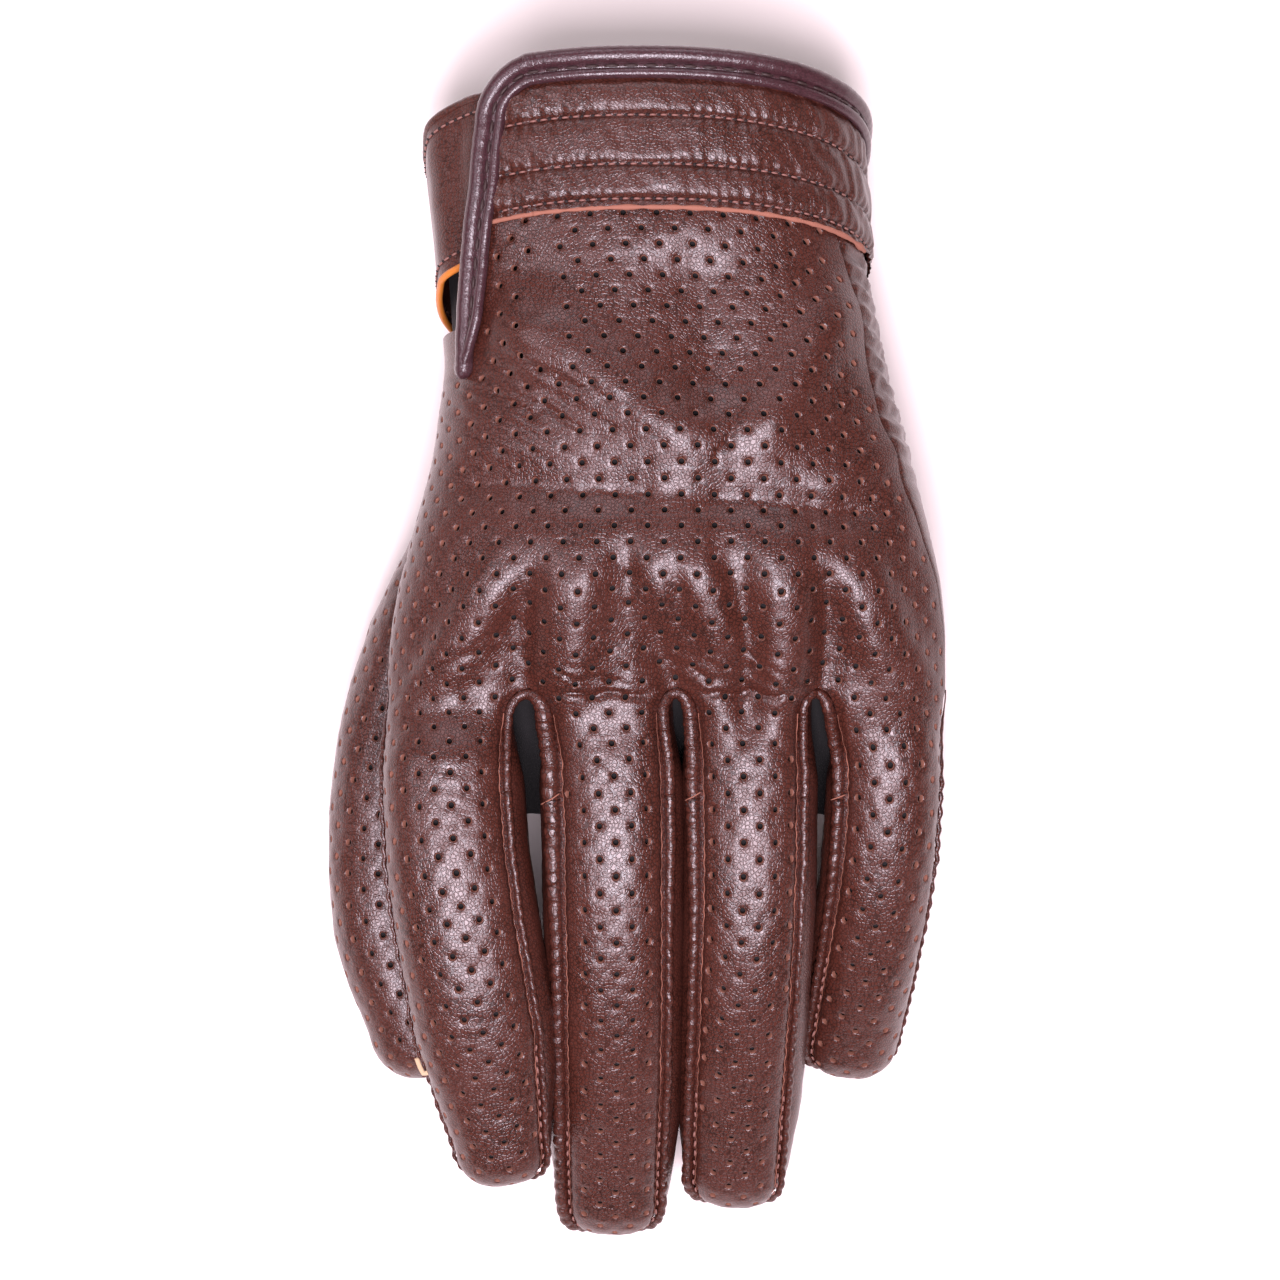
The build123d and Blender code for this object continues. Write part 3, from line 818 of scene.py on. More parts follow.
def leather_material(name, colour, crease, grain, depth, roughness, worn=None):
    """Leather with its grain side out: pebbles with darker creases, mottled and unevenly glossy.

    grain is the width of a pebble and depth the creases' depth, both in millimetres."""
    made = bpy.data.materials.new(name)
    made.use_nodes = True
    tree = made.node_tree
    shader = tree.nodes["Principled BSDF"]
    chart = add(tree, "UVMap", uv_map="leather").outputs["UV"]
    wobble = add(tree, "TexNoise", {"Vector": chart, "Scale": BEND_SCALE, "Detail": 2.0})
    bent = add(tree, "MixRGB", {0: GRAIN_BEND, 1: chart, 2: wobble.outputs["Color"]}, blend_type="ADD")
    pebbles = add(
        tree, "TexVoronoi", {"Vector": bent.outputs[0], "Scale": 1000 / grain}, feature="DISTANCE_TO_EDGE"
    )
    plump = add(
        tree, "MapRange", {"Value": pebbles.outputs["Distance"], 2: 0.22}, interpolation_type="SMOOTHERSTEP"
    )
    fine = add(tree, "TexNoise", {"Vector": chart, "Scale": WRINKLE_SCALE, "Detail": 3.0})
    patches = add(tree, "TexNoise", {"Vector": chart, "Scale": PATCH_SCALE, "Detail": 4.0, "Roughness": 0.6})
    tone = add(tree, "MapRange", {"Value": patches.outputs[0], 1: 0.3, 2: 0.7})
    base = add(tree, "MixRGB", {0: plump.outputs[0], 1: linear(crease), 2: linear(colour)})
    mottled = add(tree, "MixRGB", {0: tone.outputs[0], 1: base.outputs[0], 2: linear(worn or colour)})
    soft = add(tree, "MixRGB", {0: 0.45, 1: base.outputs[0], 2: mottled.outputs[0]})
    tree.links.new(soft.outputs[0], shader.inputs["Base Color"])
    gloss = add(tree, "MapRange", {"Value": patches.outputs[0], 3: roughness - 0.07, 4: roughness + 0.09})
    tree.links.new(gloss.outputs[0], shader.inputs["Roughness"])
    height = add(tree, "MixRGB", {0: 0.16, 1: plump.outputs[0], 2: fine.outputs[0]})
    raised = add(tree, "Bump", {"Height": height.outputs[0], "Distance": depth * 0.001, "Strength": 0.9})
    tree.links.new(raised.outputs[0], shader.inputs["Normal"])
    shader.inputs["IOR"].default_value = LEATHER_IOR
    shader.inputs["Specular IOR Level"].default_value = 0.5
    return made


def plain_material(name, colour, roughness, fibres_per_mm, depth, variation="#000000"):
    """Thread, fabric or cut leather: one colour broken up by fibres, whose depth is in millimetres."""
    made = bpy.data.materials.new(name)
    made.use_nodes = True
    tree = made.node_tree
    shader = tree.nodes["Principled BSDF"]
    chart = add(tree, "UVMap", uv_map="leather").outputs["UV"]
    fibres = add(tree, "TexNoise", {"Vector": chart, "Scale": fibres_per_mm * 1000, "Detail": 4.0})
    mixed = add(tree, "MixRGB", {0: fibres.outputs[0], 1: linear(colour), 2: linear(variation)})
    soft = add(tree, "MixRGB", {0: FIBRE_SHARE, 1: linear(colour), 2: mixed.outputs[0]})
    tree.links.new(soft.outputs[0], shader.inputs["Base Color"])
    raised = add(tree, "Bump", {"Height": fibres.outputs[0], "Distance": depth * 0.001})
    tree.links.new(raised.outputs[0], shader.inputs["Normal"])
    shader.inputs["Roughness"].default_value = roughness
    return made


def perforated_leather(looks):
    # goat leather, drum dyed, plated smooth and punched: broad soft highlights over a fine pebble
    name = "perforated drum-dyed goat leather"
    return leather_material(name, looks.leather, looks.crease, millimetres("grain"), 0.04, 0.32, looks.worn)


def plain_leather(looks):
    # the same hide without holes, handled a little less: its shine is a touch duller
    name = "plain drum-dyed goat leather"
    return leather_material(name, looks.leather, looks.crease, millimetres("grain"), 0.04, 0.33, looks.worn)


def binding_leather(looks):
    # thin calf leather, dyed darker and stretched over its roll: a bright line along a smooth tube
    return leather_material("dark rolled binding leather", looks.binding, "#2c191c", 0.5, 0.02, 0.29)


def palm_leather(looks):
    # goat leather, dyed slate and buffed for grip: nearly matt, with a bluish cast
    return leather_material("slate palm leather", looks.palm, "#17171c", 0.7, 0.08, 0.5)


def raw_edge(looks):
    # leather cut with a knife: bare fibres with no finish, paler and matt
    return plain_material("cut leather edge", looks.raw_edge, 0.8, 2.5, 0.08, "#6a3524")


def hole_edge(looks):
    # leather cut by a round punch: a thin paler ring round each dark hole
    return plain_material("punched leather edge", looks.hole_edge, 0.8, 2.5, 0.08, "#5a2e22")


def needle_hole_shade(looks):
    # leather pierced and pulled in by the thread: small dents painted near black as the shade in them, which
    # sets off each stitch
    return plain_material("needle holes in the leather", "#1d0d0b", 0.8, 2.5, 0.02)


def thread(looks):
    # polyester, spun and twisted: paler than the leather, with a weak sheen; its fibres are finer
    # than the render shows, so the noise is as coarse as half a thread
    return plain_material("polyester sewing thread", looks.thread, 0.6, 5.2, 0.05)


def dark_thread(looks):
    # the same thread, dyed to the binding: long dashes in its groove
    return plain_material("dark sewing thread", "#35211f", 0.6, 5.2, 0.05)


def orange_piping(looks):
    # leather, pigment coated and folded over a cord: one smooth saturated line
    return plain_material("orange leather piping", looks.piping, 0.45, 1.8, 0.03, "#8a4a18")


def pale_tape(looks):
    # cotton tape, woven and left undyed: a dull cream end
    return plain_material("undyed cotton tape", "#c7ab8a", 0.85, 2.4, 0.1, "#8d7355")


def hook_tape(looks):
    # nylon, woven with its loops cut into hooks: black and bristly, with small glints
    return plain_material("nylon hook tape", "#121011", 0.6, 2.6, 0.35, "#2c2829")


def loop_tape(looks):
    # nylon, knitted and brushed: black and fuzzy
    return plain_material("nylon loop tape", "#171415", 0.85, 1.8, 0.3, "#2c2829")


def lining_fabric(looks):
    # polyester jersey, knitted, black and matt; its black is partly the lining's own and partly painted shade
    # inside the glove, so that the holes over it look deep
    return plain_material("black knitted lining", "#0b090a", 0.9, 3.0, 0.1)


MAKERS = (
    perforated_leather,
    plain_leather,
    binding_leather,
    palm_leather,
    raw_edge,
    hole_edge,
    needle_hole_shade,
    thread,
    dark_thread,
    orange_piping,
    pale_tape,
    hook_tape,
    loop_tape,
    lining_fabric,
)
MATERIALS = {}


def material(kind):
    """The material of that kind, made the first time it is asked for."""
    if kind not in MATERIALS:
        maker = {maker.__name__: maker for maker in MAKERS}[kind]
        MATERIALS[kind] = maker(bpy.context.scene.glove_looks)
    return MATERIALS[kind]


def colour_property(name, description, default):
    """A colour of the glove, as an sRGB hex value."""
    return bpy.props.StringProperty(name=name, description=description, default=default)


def length_property(name, description, default):
    """A size of the glove, which the sidebar shows in metres or the scene's own unit."""
    return bpy.props.FloatProperty(
        name=name, description=description, default=default, min=0.0001, precision=5, unit="LENGTH"
    )


class GloveLooks(bpy.types.PropertyGroup):
    """Colours and sizes that a user would change."""

    leather: colour_property("Leather", "Colour of the brown leather", "#49231a")
    crease: colour_property("Creases", "Colour between the grains", "#230f0a")
    worn: colour_property("Worn", "Colour of the paler patches", "#4e2820")
    palm: colour_property("Palm", "Colour of the palm leather", "#2e2e3a")
    binding: colour_property("Binding", "Colour of the dark binding", "#44282d")
    raw_edge: colour_property("Cut edge", "Colour of cut leather", "#96614f")
    hole_edge: colour_property("Hole edge", "Colour in the punched holes", "#7c5040")
    thread: colour_property("Thread", "Colour of the thread", "#8a5f56")
    piping: colour_property("Piping", "Colour of the vent's piping", "#c47428")
    grain: length_property("Grain", "Width of one pebble of the leather's grain", 0.00066)
    stitch_pitch: length_property("Stitch pitch", "From one stitch to the next on cuff and tab", 0.0019)
    stitch_length: length_property("Stitch length", "Length of a stitch on cuff and tab", 0.00125)
    thread_radius: length_property("Thread radius", "Half the thickness of the thread", 0.0002)
    camera_height: length_property("Camera height", "Height of the camera above the floor", 0.9)


def millimetres(name):
    """A size from the sidebar in millimetres, without the digits that a single float adds."""
    return round(getattr(bpy.context.scene.glove_looks, name) * 1000, 4)


# Operators ---------------------------------------------------------------------------------------


def back_edges(v):
    """The back leather's two borders: the flap's hinge or the thumb's side, and the side seam."""
    thumb_side = HAND_FORM.s(v, np.interp(v, [CROTCH, 4], [THUMB_ANGLE, THUMB_SIDE]))
    left = np.where(v > FLAP_END + 0.01, HAND_FORM.s(v, HINGE_ANGLE), thumb_side)
    return left, HAND_FORM.s(v, side_seam_angle(v))


def make_back():
    """The back of the hand, punched all over."""
    back = perforated("back_leather", HAND_FORM.place, (0, 32), back_edges, 0.0, "hand")
    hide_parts("back_panel")


def side_point(v, angle, lift):
    """The side panel, rippled towards the cuff and turned down into its seam."""
    ripple = 0.45 * np.sin(v * 2 * pi / 4.3 + ripples(v, angle, 5, 12)) * smoothstep(20, 45, v)
    seam = np.exp(-(((angle - side_seam_angle(v)) / 2.5) ** 2))
    return HAND_FORM.point(v, angle, lift - 0.25 + ripple - SEAM_DEPTH * seam)


def make_outer_side():
    """The plain panel from the little finger's side to the cuff."""
    v = np.arange(CROTCH, 80, 0.9)
    angles = np.stack([side_seam_angle(v) + 0.8, np.full(len(v), PALM_FROM)], axis=1)
    side = piece("outer_side_leather", *strip_parts(side_point, v, angles, "plain_leather"))
    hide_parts("outer_side_panel")


def make_thumb_gusset():
    """The plain leather between the back, the vent and the palm, cut away round the thumb."""
    share = np.linspace(0, 1, 70)
    start, reach = 151, 65
    angle = start + reach * share
    rows = np.linspace(0, 1, 70)[:, None]
    low = np.interp(angle, [start, 184, 190, start + reach], [45, 45, -4, -4])
    high = np.minimum(slanted(GUSSET_TOP, angle), slanted(VENT, angle) - 1.2)
    v = low * (1 - rows) + high * rows
    widened = np.interp(v, [-4, 6, 22], [242, 245, 216]) - (start + reach)
    angle = angle + widened * smoothstep(0.4, 1, share)
    sunk = smoothstep(50, 46, v) * smoothstep(196, 188, angle)
    points = HAND_FORM.point(v, angle, -0.6 * sunk)
    gusset = piece("thumb_gusset_leather", *grid_parts(points, HAND_FORM.s(v, angle), v, "plain_leather"))
    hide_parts("thumb_gusset")


def make_palm():
    """The palm's slate leather."""
    v = np.arange(-4, 78, 1.2)
    thumb_side = np.interp(v, [-4, 6, 22], [236, 240, 212])
    angles = np.stack([np.full(len(v), PALM_TO), thumb_side], axis=1)
    palm = piece("palm_leather", *strip_parts(HAND_FORM.point, v, angles, "palm_leather"))
    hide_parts("palm_panel")


class GLOVE_OT_hand(bpy.types.Operator):
    """Back leather with its perforations, the side panel, the thumb gusset and the palm"""

    bl_idname = "glove.hand"
    bl_label = "Hand leather"

    def execute(self, context):
        make_back()
        make_outer_side()
        make_thumb_gusset()
        make_palm()
        return {"FINISHED"}


def last_row(form):
    """The last whole row of perforation cells before a form's tip."""
    return -int(np.floor((form.end_d - 0.4) / CELL_V))


def finger_back(name, form, part, rows, bend):
    """One of a finger's two lengths of perforated back leather."""
    back = perforated(f"{name}_back_leather_{part}", form.back, rows, form.edges, form.centre_s, bend)
    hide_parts(f"{name}_back_{part}")


def finger_walls(name, form, part, rows, bend):
    """The plain side walls and the palm leather of one length of a finger."""
    v = np.linspace(CROTCH + rows[1] * CELL_V, CROTCH + rows[0] * CELL_V, 60)
    at_thumb = (THUMB_ANGLE, 238) if name == "index" else None
    at_edge = (side_seam_angle(CROTCH), PALM_FROM) if name == "little" else None
    walls = (
        ("little_side_wall", (form.low_angle + 1, -36), "plain_leather", 1, at_edge),
        ("thumb_side_wall", (form.high_angle - 1, 216), "plain_leather", 0, at_thumb),
        ("palm", (324, 216), "palm_leather", None, None),
    )
    for wall, angles, kind, border, hand_angles in walls:
        point = wall_point(form, WALL_SWELL.get((name, wall), 0.0), angles, border, hand_angles)
        made = piece(f"{name}_{wall}_leather_{part}", *strip_parts(point, v, angles, kind), body=bend)
        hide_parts(f"{name}_{wall}_{part}")


class GLOVE_OT_fingers(bpy.types.Operator):
    """Each finger's back leather, tip, side walls and palm leather, and the black webs of painted shade
    between them
    """

    bl_idname = "glove.fingers"
    bl_label = "Fingers"

    def execute(self, context):
        split = -int(round((CROTCH - SPLIT) / CELL_V))
        for name, form in FINGER_FORMS.items():
            last = last_row(form)
            tip_cap(name, form, CROTCH + last * CELL_V, middle_bend(name))
            for part, rows, bend in (
                ("base", (split, 0), knuckle_bend(name)),
                ("end", (last, split), middle_bend(name)),
            ):
                finger_back(name, form, part, rows, bend)
                finger_walls(name, form, part, rows, bend)
        for number, x in enumerate(CROTCH_X):
            bend = knuckle_bend(list(FINGER_FORMS)[number + 1])
            web = piece(f"shaded_cleft_web_{number + 1}", *shaded_cleft_web(number, x), body=bend)
        return {"FINISHED"}


def tip_cap(name, form, v, body):
    """The turned-in leather that closes the very end of a finger or the thumb."""

    def point(v, angle, lift):
        return form.point(v, angle, lift - 0.12)

    rows = np.linspace(v + 0.8, CROTCH - form.end_d, 14)
    cap = piece(f"{name}_tip_leather", *strip_parts(point, rows, (-36, 324), "plain_leather"), body=body)


# how far the walls between two fingers swell towards each other
WALL_SWELL = {
    ("index", "little_side_wall"): 1.7,
    ("middle", "thumb_side_wall"): 1.9,
    ("middle", "little_side_wall"): 1.6,
    ("ring", "thumb_side_wall"): 1.6,
    ("ring", "little_side_wall"): 1.6,
    ("little", "thumb_side_wall"): 1.7,
}


def wall_point(form, swell, angles, border, hand_angles):
    """A finger's side wall: it starts at the back leather's border and swells between its seams.

    An outer wall, which has hand_angles, leaves the hand's own side between those angles."""

    def blended(v, own, hand_angle):
        if not hand_angles:
            return own
        hand = HAND_FORM.point(v, hand_angle, -OUTER_WALL_SINK)
        mix = smoothstep(0, MERGE, CROTCH - v)[..., None]
        return hand * (1 - mix) + own * mix

    def point(v, angle, lift):
        share = np.clip((angle - angles[0]) / (angles[1] - angles[0]), 0, 1)
        along = smoothstep(4, 18, CROTCH - v) * (1 - smoothstep(form.end_d - 30, form.end_d - 8, CROTCH - v))
        own = form.point(v, angle, lift + SEAM_LEVEL + swell * np.sin(share * pi) * along)
        if border is None:
            return own
        first, last = hand_angles or (0, 0)
        wall = blended(v, own, first + (last - first) * share)
        top = form.point(v, np.full(np.shape(angle), float(angles[0])), SEAM_LEVEL)
        top = blended(v, top, np.full(np.shape(angle), float(first)))
        seam = form.place(v, form.edges(v)[border], -SEAM_DEPTH)
        return wall + (seam - top) * ((1 - share) ** 2)[..., None]

    return point


def shaded_cleft_web(number, x):
    """A black sheet at the root of two fingers, which slopes down and forwards into the cleft: painted shade
    between the fingers, in the lining's material.
    """
    half = CLEFT_HALF[number] + 2.5
    down = np.linspace(0, 1, 24)[:, None]
    across = np.linspace(-1, 1, 14)
    top = float(HAND_FORM.point(np.array(CROTCH), np.array(angle_at_x(CROTCH, x)))[2])
    y = CROTCH - 1.5 - 21 * down - 2 * across**2
    z = top - 3.5 - 24 * down**0.75 - 1.6 * np.cos(across * pi / 2)
    wrinkled = z + 0.3 * ripples(x + across * half, y, 40 + number, 5)
    points = np.stack([x + half * across + 0 * down, y, wrinkled], axis=-1)
    # the lining's black here is painted shade in the cleft
    return grid_parts(points, points[..., 0], points[..., 1], "lining_fabric")


class GLOVE_OT_thumb(bpy.types.Operator):
    """The thumb's perforated back, its tip and its plain palm leather"""

    bl_idname = "glove.thumb"
    bl_label = "Thumb"

    def execute(self, context):
        form = THUMB_FORM
        first, last = 8, last_row(form)
        tip_cap("thumb", form, CROTCH + last * CELL_V, THUMB_BEND)
        back = perforated("thumb_back_leather", form.back, (last, first), form.edges, 0.0, THUMB_BEND)
        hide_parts("thumb_back")
        v = np.linspace(CROTCH + first * CELL_V, CROTCH + last * CELL_V, 90)
        palm = piece(
            "thumb_palm_leather", *strip_parts(form.point, v, (62, -124), "palm_leather"), body=THUMB_BEND
        )
        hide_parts("thumb_palm")
        return {"FINISHED"}


def quilted(v, angle, lift):
    """The padded cuff band: pillows between rows of stitches, puckered along each row."""
    lift = lift + BAND_LIFT
    s = HAND_FORM.s(v, angle)
    inner_roll = RIM_ROLLS[2][1]
    bounds = (RIM - inner_roll - 1.0, *QUILT_ROWS)
    for upper, lower in zip(bounds, bounds[1:]):
        t = np.clip((v - lower) / (upper - lower), 0, 1)
        lift = lift + QUILT_RISE * (1 - np.abs(2 * t - 1) ** 3.2) * (t > 0) * (t < 1)
    for row in QUILT_ROWS:
        near = np.exp(-(((v - row) / 1.7) ** 2))
        pucker = np.sin(s * 2 * pi / millimetres("stitch_pitch") + 0.5 * ripples(s, v, 21, 12))
        lift = lift + near * (0.15 * pucker + 0.14 * ripples(s, v, 22, 4))
        lift = lift - 0.35 * np.exp(-(((v - row) / 0.45) ** 2))
    slanted_folds = np.sin((s * 0.9 + v * 0.45) * 2 * pi / 3.6 + 2.2 * ripples(s, v, 24, 13))
    strength = 0.05 + 0.13 * smoothstep(-8, -24, s) + 0.07 * smoothstep(20, 34, s)
    return HAND_FORM.point(v, angle, lift + 0.14 * ripples(s, v, 23, 9) + strength * slanted_folds)


def tab_point(v, angle, lift):
    """The tab that lies under the flap, flush with the palm's side of the cuff."""
    dip = TAB_DIP * (1 - smoothstep(147, 168, angle))
    s = HAND_FORM.s(v, angle)
    return HAND_FORM.point(v, angle, lift - dip + 0.3 + 0.12 * ripples(s, v, 31, 9))


def slanted(line, angle):
    """v on the hand's form, at an angle, of a line cut at its own slant."""
    start, slope = line
    v = np.full(np.shape(angle), float(start))
    for _ in range(8):
        place = HAND_FORM.smooth_point(v, angle)
        v = v + (start - slope * (WRIST_TOP - place[..., 2])) - place[..., 1]
    return v


def rim_path(v, angles, lift):
    """Points round the wrist at one v."""
    angles = np.asarray(angles, float)
    return HAND_FORM.point(np.full(len(angles), float(v)), angles, lift)


def flap_side(v, inset):
    """Where the flap's edge lies, and lines that follow it further in but meet it at its tip."""
    return HAND_FORM.s(v, flap_angle(v)) + inset * smoothstep(FLAP_END - 1, FLAP_END + 11, v)


def flap_outline(inset):
    """Places along the flap's rim, round its corner and down its edge to its tip."""
    top, radius = RIM - inset, CORNER - inset
    turn = np.linspace(0, pi / 2, 24)
    v_corner = top - radius
    s_corner = float(flap_side(v_corner, inset)) + radius
    s_hinge = float(HAND_FORM.s(top, HINGE_ANGLE))
    v_down = np.linspace(v_corner, FLAP_END - 0.9, 90)[1:]
    s = np.concatenate([[s_hinge], s_corner - radius * np.sin(turn), flap_side(v_down, inset)])
    v = np.concatenate([[top], v_corner + radius * np.cos(turn), v_down])
    return v, s


def flap_path(inset, lift):
    """Points along the flap's outline, further in by the inset."""
    v, s = flap_outline(inset)
    return HAND_FORM.place(v, s, lift)


def flap_limit(v, inset):
    """The angle at which the flap's own leather ends, rounded off at the corner."""
    v_line, s_line = flap_outline(inset)
    s = np.interp(v, v_line[1:][::-1], s_line[1:][::-1])
    return HAND_FORM.angle(v, s)


def rounded_end(path, radius):
    """Radii, evenly spread along a path, that close its far end like a fingertip."""
    length = np.linalg.norm(np.diff(path, axis=0), axis=1).sum()
    left = length - np.linspace(0, length, 240)
    return radius * np.sqrt(np.clip(1 - np.clip(1 - left / (1.3 * radius), 0, 0.98) ** 2, 0, 1))


FLAP_BEND = (
    "hand",
    "closure_flap",
    tuple(HAND_FORM.point(np.array(75.0), np.array(HINGE_ANGLE - 2.0))),
    tuple(HAND_FORM.point(np.array(75.0), np.array(HINGE_ANGLE + 8.0))),
)


def quilted_bands():
    """The cuff's back and palm bands and the flap, each a padded length of the same band."""
    v = np.arange(CUFF_EDGE - 0.3, RIM - 1.2, 0.3)
    span = np.stack([np.full(len(v), HINGE_ANGLE), flap_limit(v, 2.5)], axis=1)
    for name, node, angles, columns, body in (
        ("cuff_quilted_leather_back", "cuff_band_back", (CUFF_START, HINGE_ANGLE), 260, "hand"),
        ("cuff_quilted_leather_palm", "cuff_band_palm", (CUFF_START, CUFF_END), 260, "hand"),
        ("flap_quilted_leather", "closure_flap", span, 60, FLAP_BEND),
    ):
        made = piece(name, *strip_parts(quilted, v, angles, "plain_leather", columns), body=body)
        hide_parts(node)


def binding_rolls(around):
    """The rim's double-rolled binding, round the cuff and round the flap's edge."""
    for part, inset, lift, radius in RIM_ROLLS:
        path = rim_path(RIM - inset, around, lift)
        rim = roll(f"cuff_binding_{part}", path, radius, "binding_leather", gathers=0.015)
        path = flap_path(inset, lift)
        radii = rounded_end(path, radius)
        flap = roll(f"flap_binding_{part}", path, radii, "binding_leather", FLAP_BEND, gathers=0.02)
        for made, node in ((rim, "cuff_binding"), (flap, "flap_binding")):
            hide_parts(node)


def binding_tuck():
    """The end of the flap's binding, folded back under its tip."""
    tip_v, tip_s = flap_outline(0.0)
    v = tip_v[-1] + np.linspace(3.6, 0.4, 8)
    s = tip_s[-1] + np.linspace(-1.5, -0.5, 8)
    path = HAND_FORM.place(v, s, np.linspace(0.3, 0.9, 8))
    radii = rounded_end(path, 0.95)
    made = roll("flap_binding_tuck", path, radii, "binding_leather", FLAP_BEND, gathers=0.08)


def sewn_row(name, path, body="hand"):
    """A row of stitches in the leather's own thread."""
    sizes = millimetres("stitch_length"), millimetres("stitch_pitch"), millimetres("thread_radius")
    return stitches(name, path, "thread", *sizes, body)


def band_stitches():
    """The rows of stitches that quilt the band, with their needle holes."""
    pitch = millimetres("stitch_pitch")
    for number, row in enumerate(QUILT_ROWS, start=1):
        right = rim_path(row, np.linspace(HINGE_ANGLE, CUFF_START, 200), STITCH_LIFT)
        sewn_row(f"cuff_stitches_row_{number}", right)
        needle_holes(f"cuff_needle_holes_row_{number}", right, pitch)
        left = rim_path(row, np.linspace(HINGE_ANGLE, float(flap_limit(row, 4.2)), 40), STITCH_LIFT)
        sewn_row(f"flap_stitches_row_{number}", left, FLAP_BEND)
        needle_holes(f"flap_needle_holes_row_{number}", left, pitch, body=FLAP_BEND)


def cut_edges():
    """The band's raw lower edge, on the cuff and on the flap."""
    v, thickness = CUFF_EDGE - 0.5, 0.42
    edge = rim_path(v, np.linspace(HINGE_ANGLE, 14, 160), EDGE_LIFT)
    uneven = thickness + 0.13 * ripples(np.linspace(0, 90, 240), 0.0, 25, 6)
    cuff = roll("cuff_cut_edge", edge, uneven, "raw_edge", gathers=0.05, squash=0.85)
    edge = rim_path(v, np.linspace(HINGE_ANGLE, float(flap_limit(CUFF_EDGE, 3.6)), 40), EDGE_LIFT)
    flap = roll("flap_cut_edge", edge, thickness, "raw_edge", FLAP_BEND, gathers=0.05, squash=0.85)


class GLOVE_OT_cuff(bpy.types.Operator):
    """Quilted cuff band with its stitches, cut edge and double-rolled binding"""

    bl_idname = "glove.cuff"
    bl_label = "Cuff"

    def execute(self, context):
        quilted_bands()
        around = np.linspace(HINGE_ANGLE, CUFF_END, 260)
        binding_rolls(around)
        binding_tuck()
        groove, lift = RIM_ROLLS[1][1], 1.75
        sewn = ("dark_thread", 2.3, 3.4, 0.28)
        stitches("cuff_binding_stitches", rim_path(RIM - groove, around, lift), *sewn)
        stitches("flap_binding_stitches", flap_path(groove, lift), *sewn, FLAP_BEND)
        band_stitches()
        cut_edges()
        return {"FINISHED"}


def flap_end_edges(v):
    """The borders of the flap's perforated end: its bound edge and its hinge."""
    return flap_side(v, 2.3), HAND_FORM.s(v, HINGE_ANGLE)


def make_flap_end():
    """The back leather's own corner, which goes with the flap."""
    rows = (FLAP_ROW, 32)
    flap = perforated("flap_perforated_leather", HAND_FORM.place, rows, flap_end_edges, 0.0, FLAP_BEND)


def make_tab(angles, low, top_v):
    """The tab under the flap, from the vent to its folded top edge."""
    rows = np.linspace(0, 1, 60)[:, None]
    v = low * (1 - rows) + top_v * rows
    points = tab_point(v, np.broadcast_to(angles, v.shape), 0.0)
    points, faces, materials, chart = grid_parts(points, HAND_FORM.s(v, angles), v, "plain_leather")
    tab = piece("tab_leather", points, faces[:, ::-1], materials, chart)
    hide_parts("closure_tab")
    edge = roll("tab_folded_edge", tab_point(top_v, angles, -0.25), 0.7, "plain_leather", gathers=0.03)
    for name, line_v in (("tab", top_v - 2.6), ("vent", low + 2.6)):
        line = tab_point(line_v, angles, 0.12)
        made = sewn_row(f"{name}_stitches", line)
        needle_holes(f"{name}_needle_holes", line, millimetres("stitch_pitch"))


def make_tapes():
    """The hook tape under the flap and the loop tape on the tab."""
    for name, node, bend, place in (
        ("hook_tape", "hook_patch", FLAP_BEND, lambda v, angle: HAND_FORM.point(v, angle, -0.9)),
        ("loop_tape", "loop_patch", "hand", lambda v, angle: tab_point(v, angle, 0.35)),
    ):
        v = np.linspace(*TAPE_ROWS, 30)[:, None]
        angle = np.linspace(120, flap_angle(v) - 2.5, 24, axis=1)[..., 0]
        points = place(np.broadcast_to(v, angle.shape), angle)
        tape = piece(name, *grid_parts(points, HAND_FORM.s(v, angle), v, name), body=bend)
        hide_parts(node)


class GLOVE_OT_closure(bpy.types.Operator):
    """Flap's perforated end, the tab under it, its vent piping, and the hook and loop tapes"""

    bl_idname = "glove.closure"
    bl_label = "Closure"

    def execute(self, context):
        make_flap_end()
        angles = np.linspace(*TAB_ANGLES, 100)
        low = slanted(VENT, angles)
        top_v = TAB_TOP + 1.6 * np.sin(pi * np.clip((angles - 128) / 50, 0, 1))
        make_tab(angles, low, top_v)
        make_tapes()
        path = tab_point(low - 0.2, angles, -0.15)
        piping = roll("vent_orange_piping", path, 0.62, "orange_piping", gathers=0.02)
        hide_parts("vent_piping")
        return {"FINISHED"}


# half width of the rolled seam along each side of each finger
SEAM_ROLLS = {
    ("index", "thumb_side"): 0.5,
    ("index", "little_side"): 0.75,
    ("middle", "thumb_side"): 1.6,
    ("middle", "little_side"): 1.0,
    ("ring", "thumb_side"): 1.3,
    ("ring", "little_side"): 0.8,
    ("little", "thumb_side"): 1.15,
    ("little", "little_side"): 0.5,
}


def beside(form, v, border, sign, reach, sink):
    """Points beside the back leather's border, level with it rather than round the finger."""
    edge = form.place(v, form.edges(v)[border])
    inner = form.place(v, form.edges(v)[border] - sign * 2.0)
    out = (edge - inner) * [1, 1, 0.25]
    out /= np.linalg.norm(out, axis=1, keepdims=True)
    return edge + out * np.reshape(reach, (-1, 1)) + np.reshape(sink, (-1, 1)) * [0, 0, 1]


def roll_sink(size):
    """How far below the back leather a seam roll's middle lies."""
    return SEAM_LEVEL - 0.45 * size


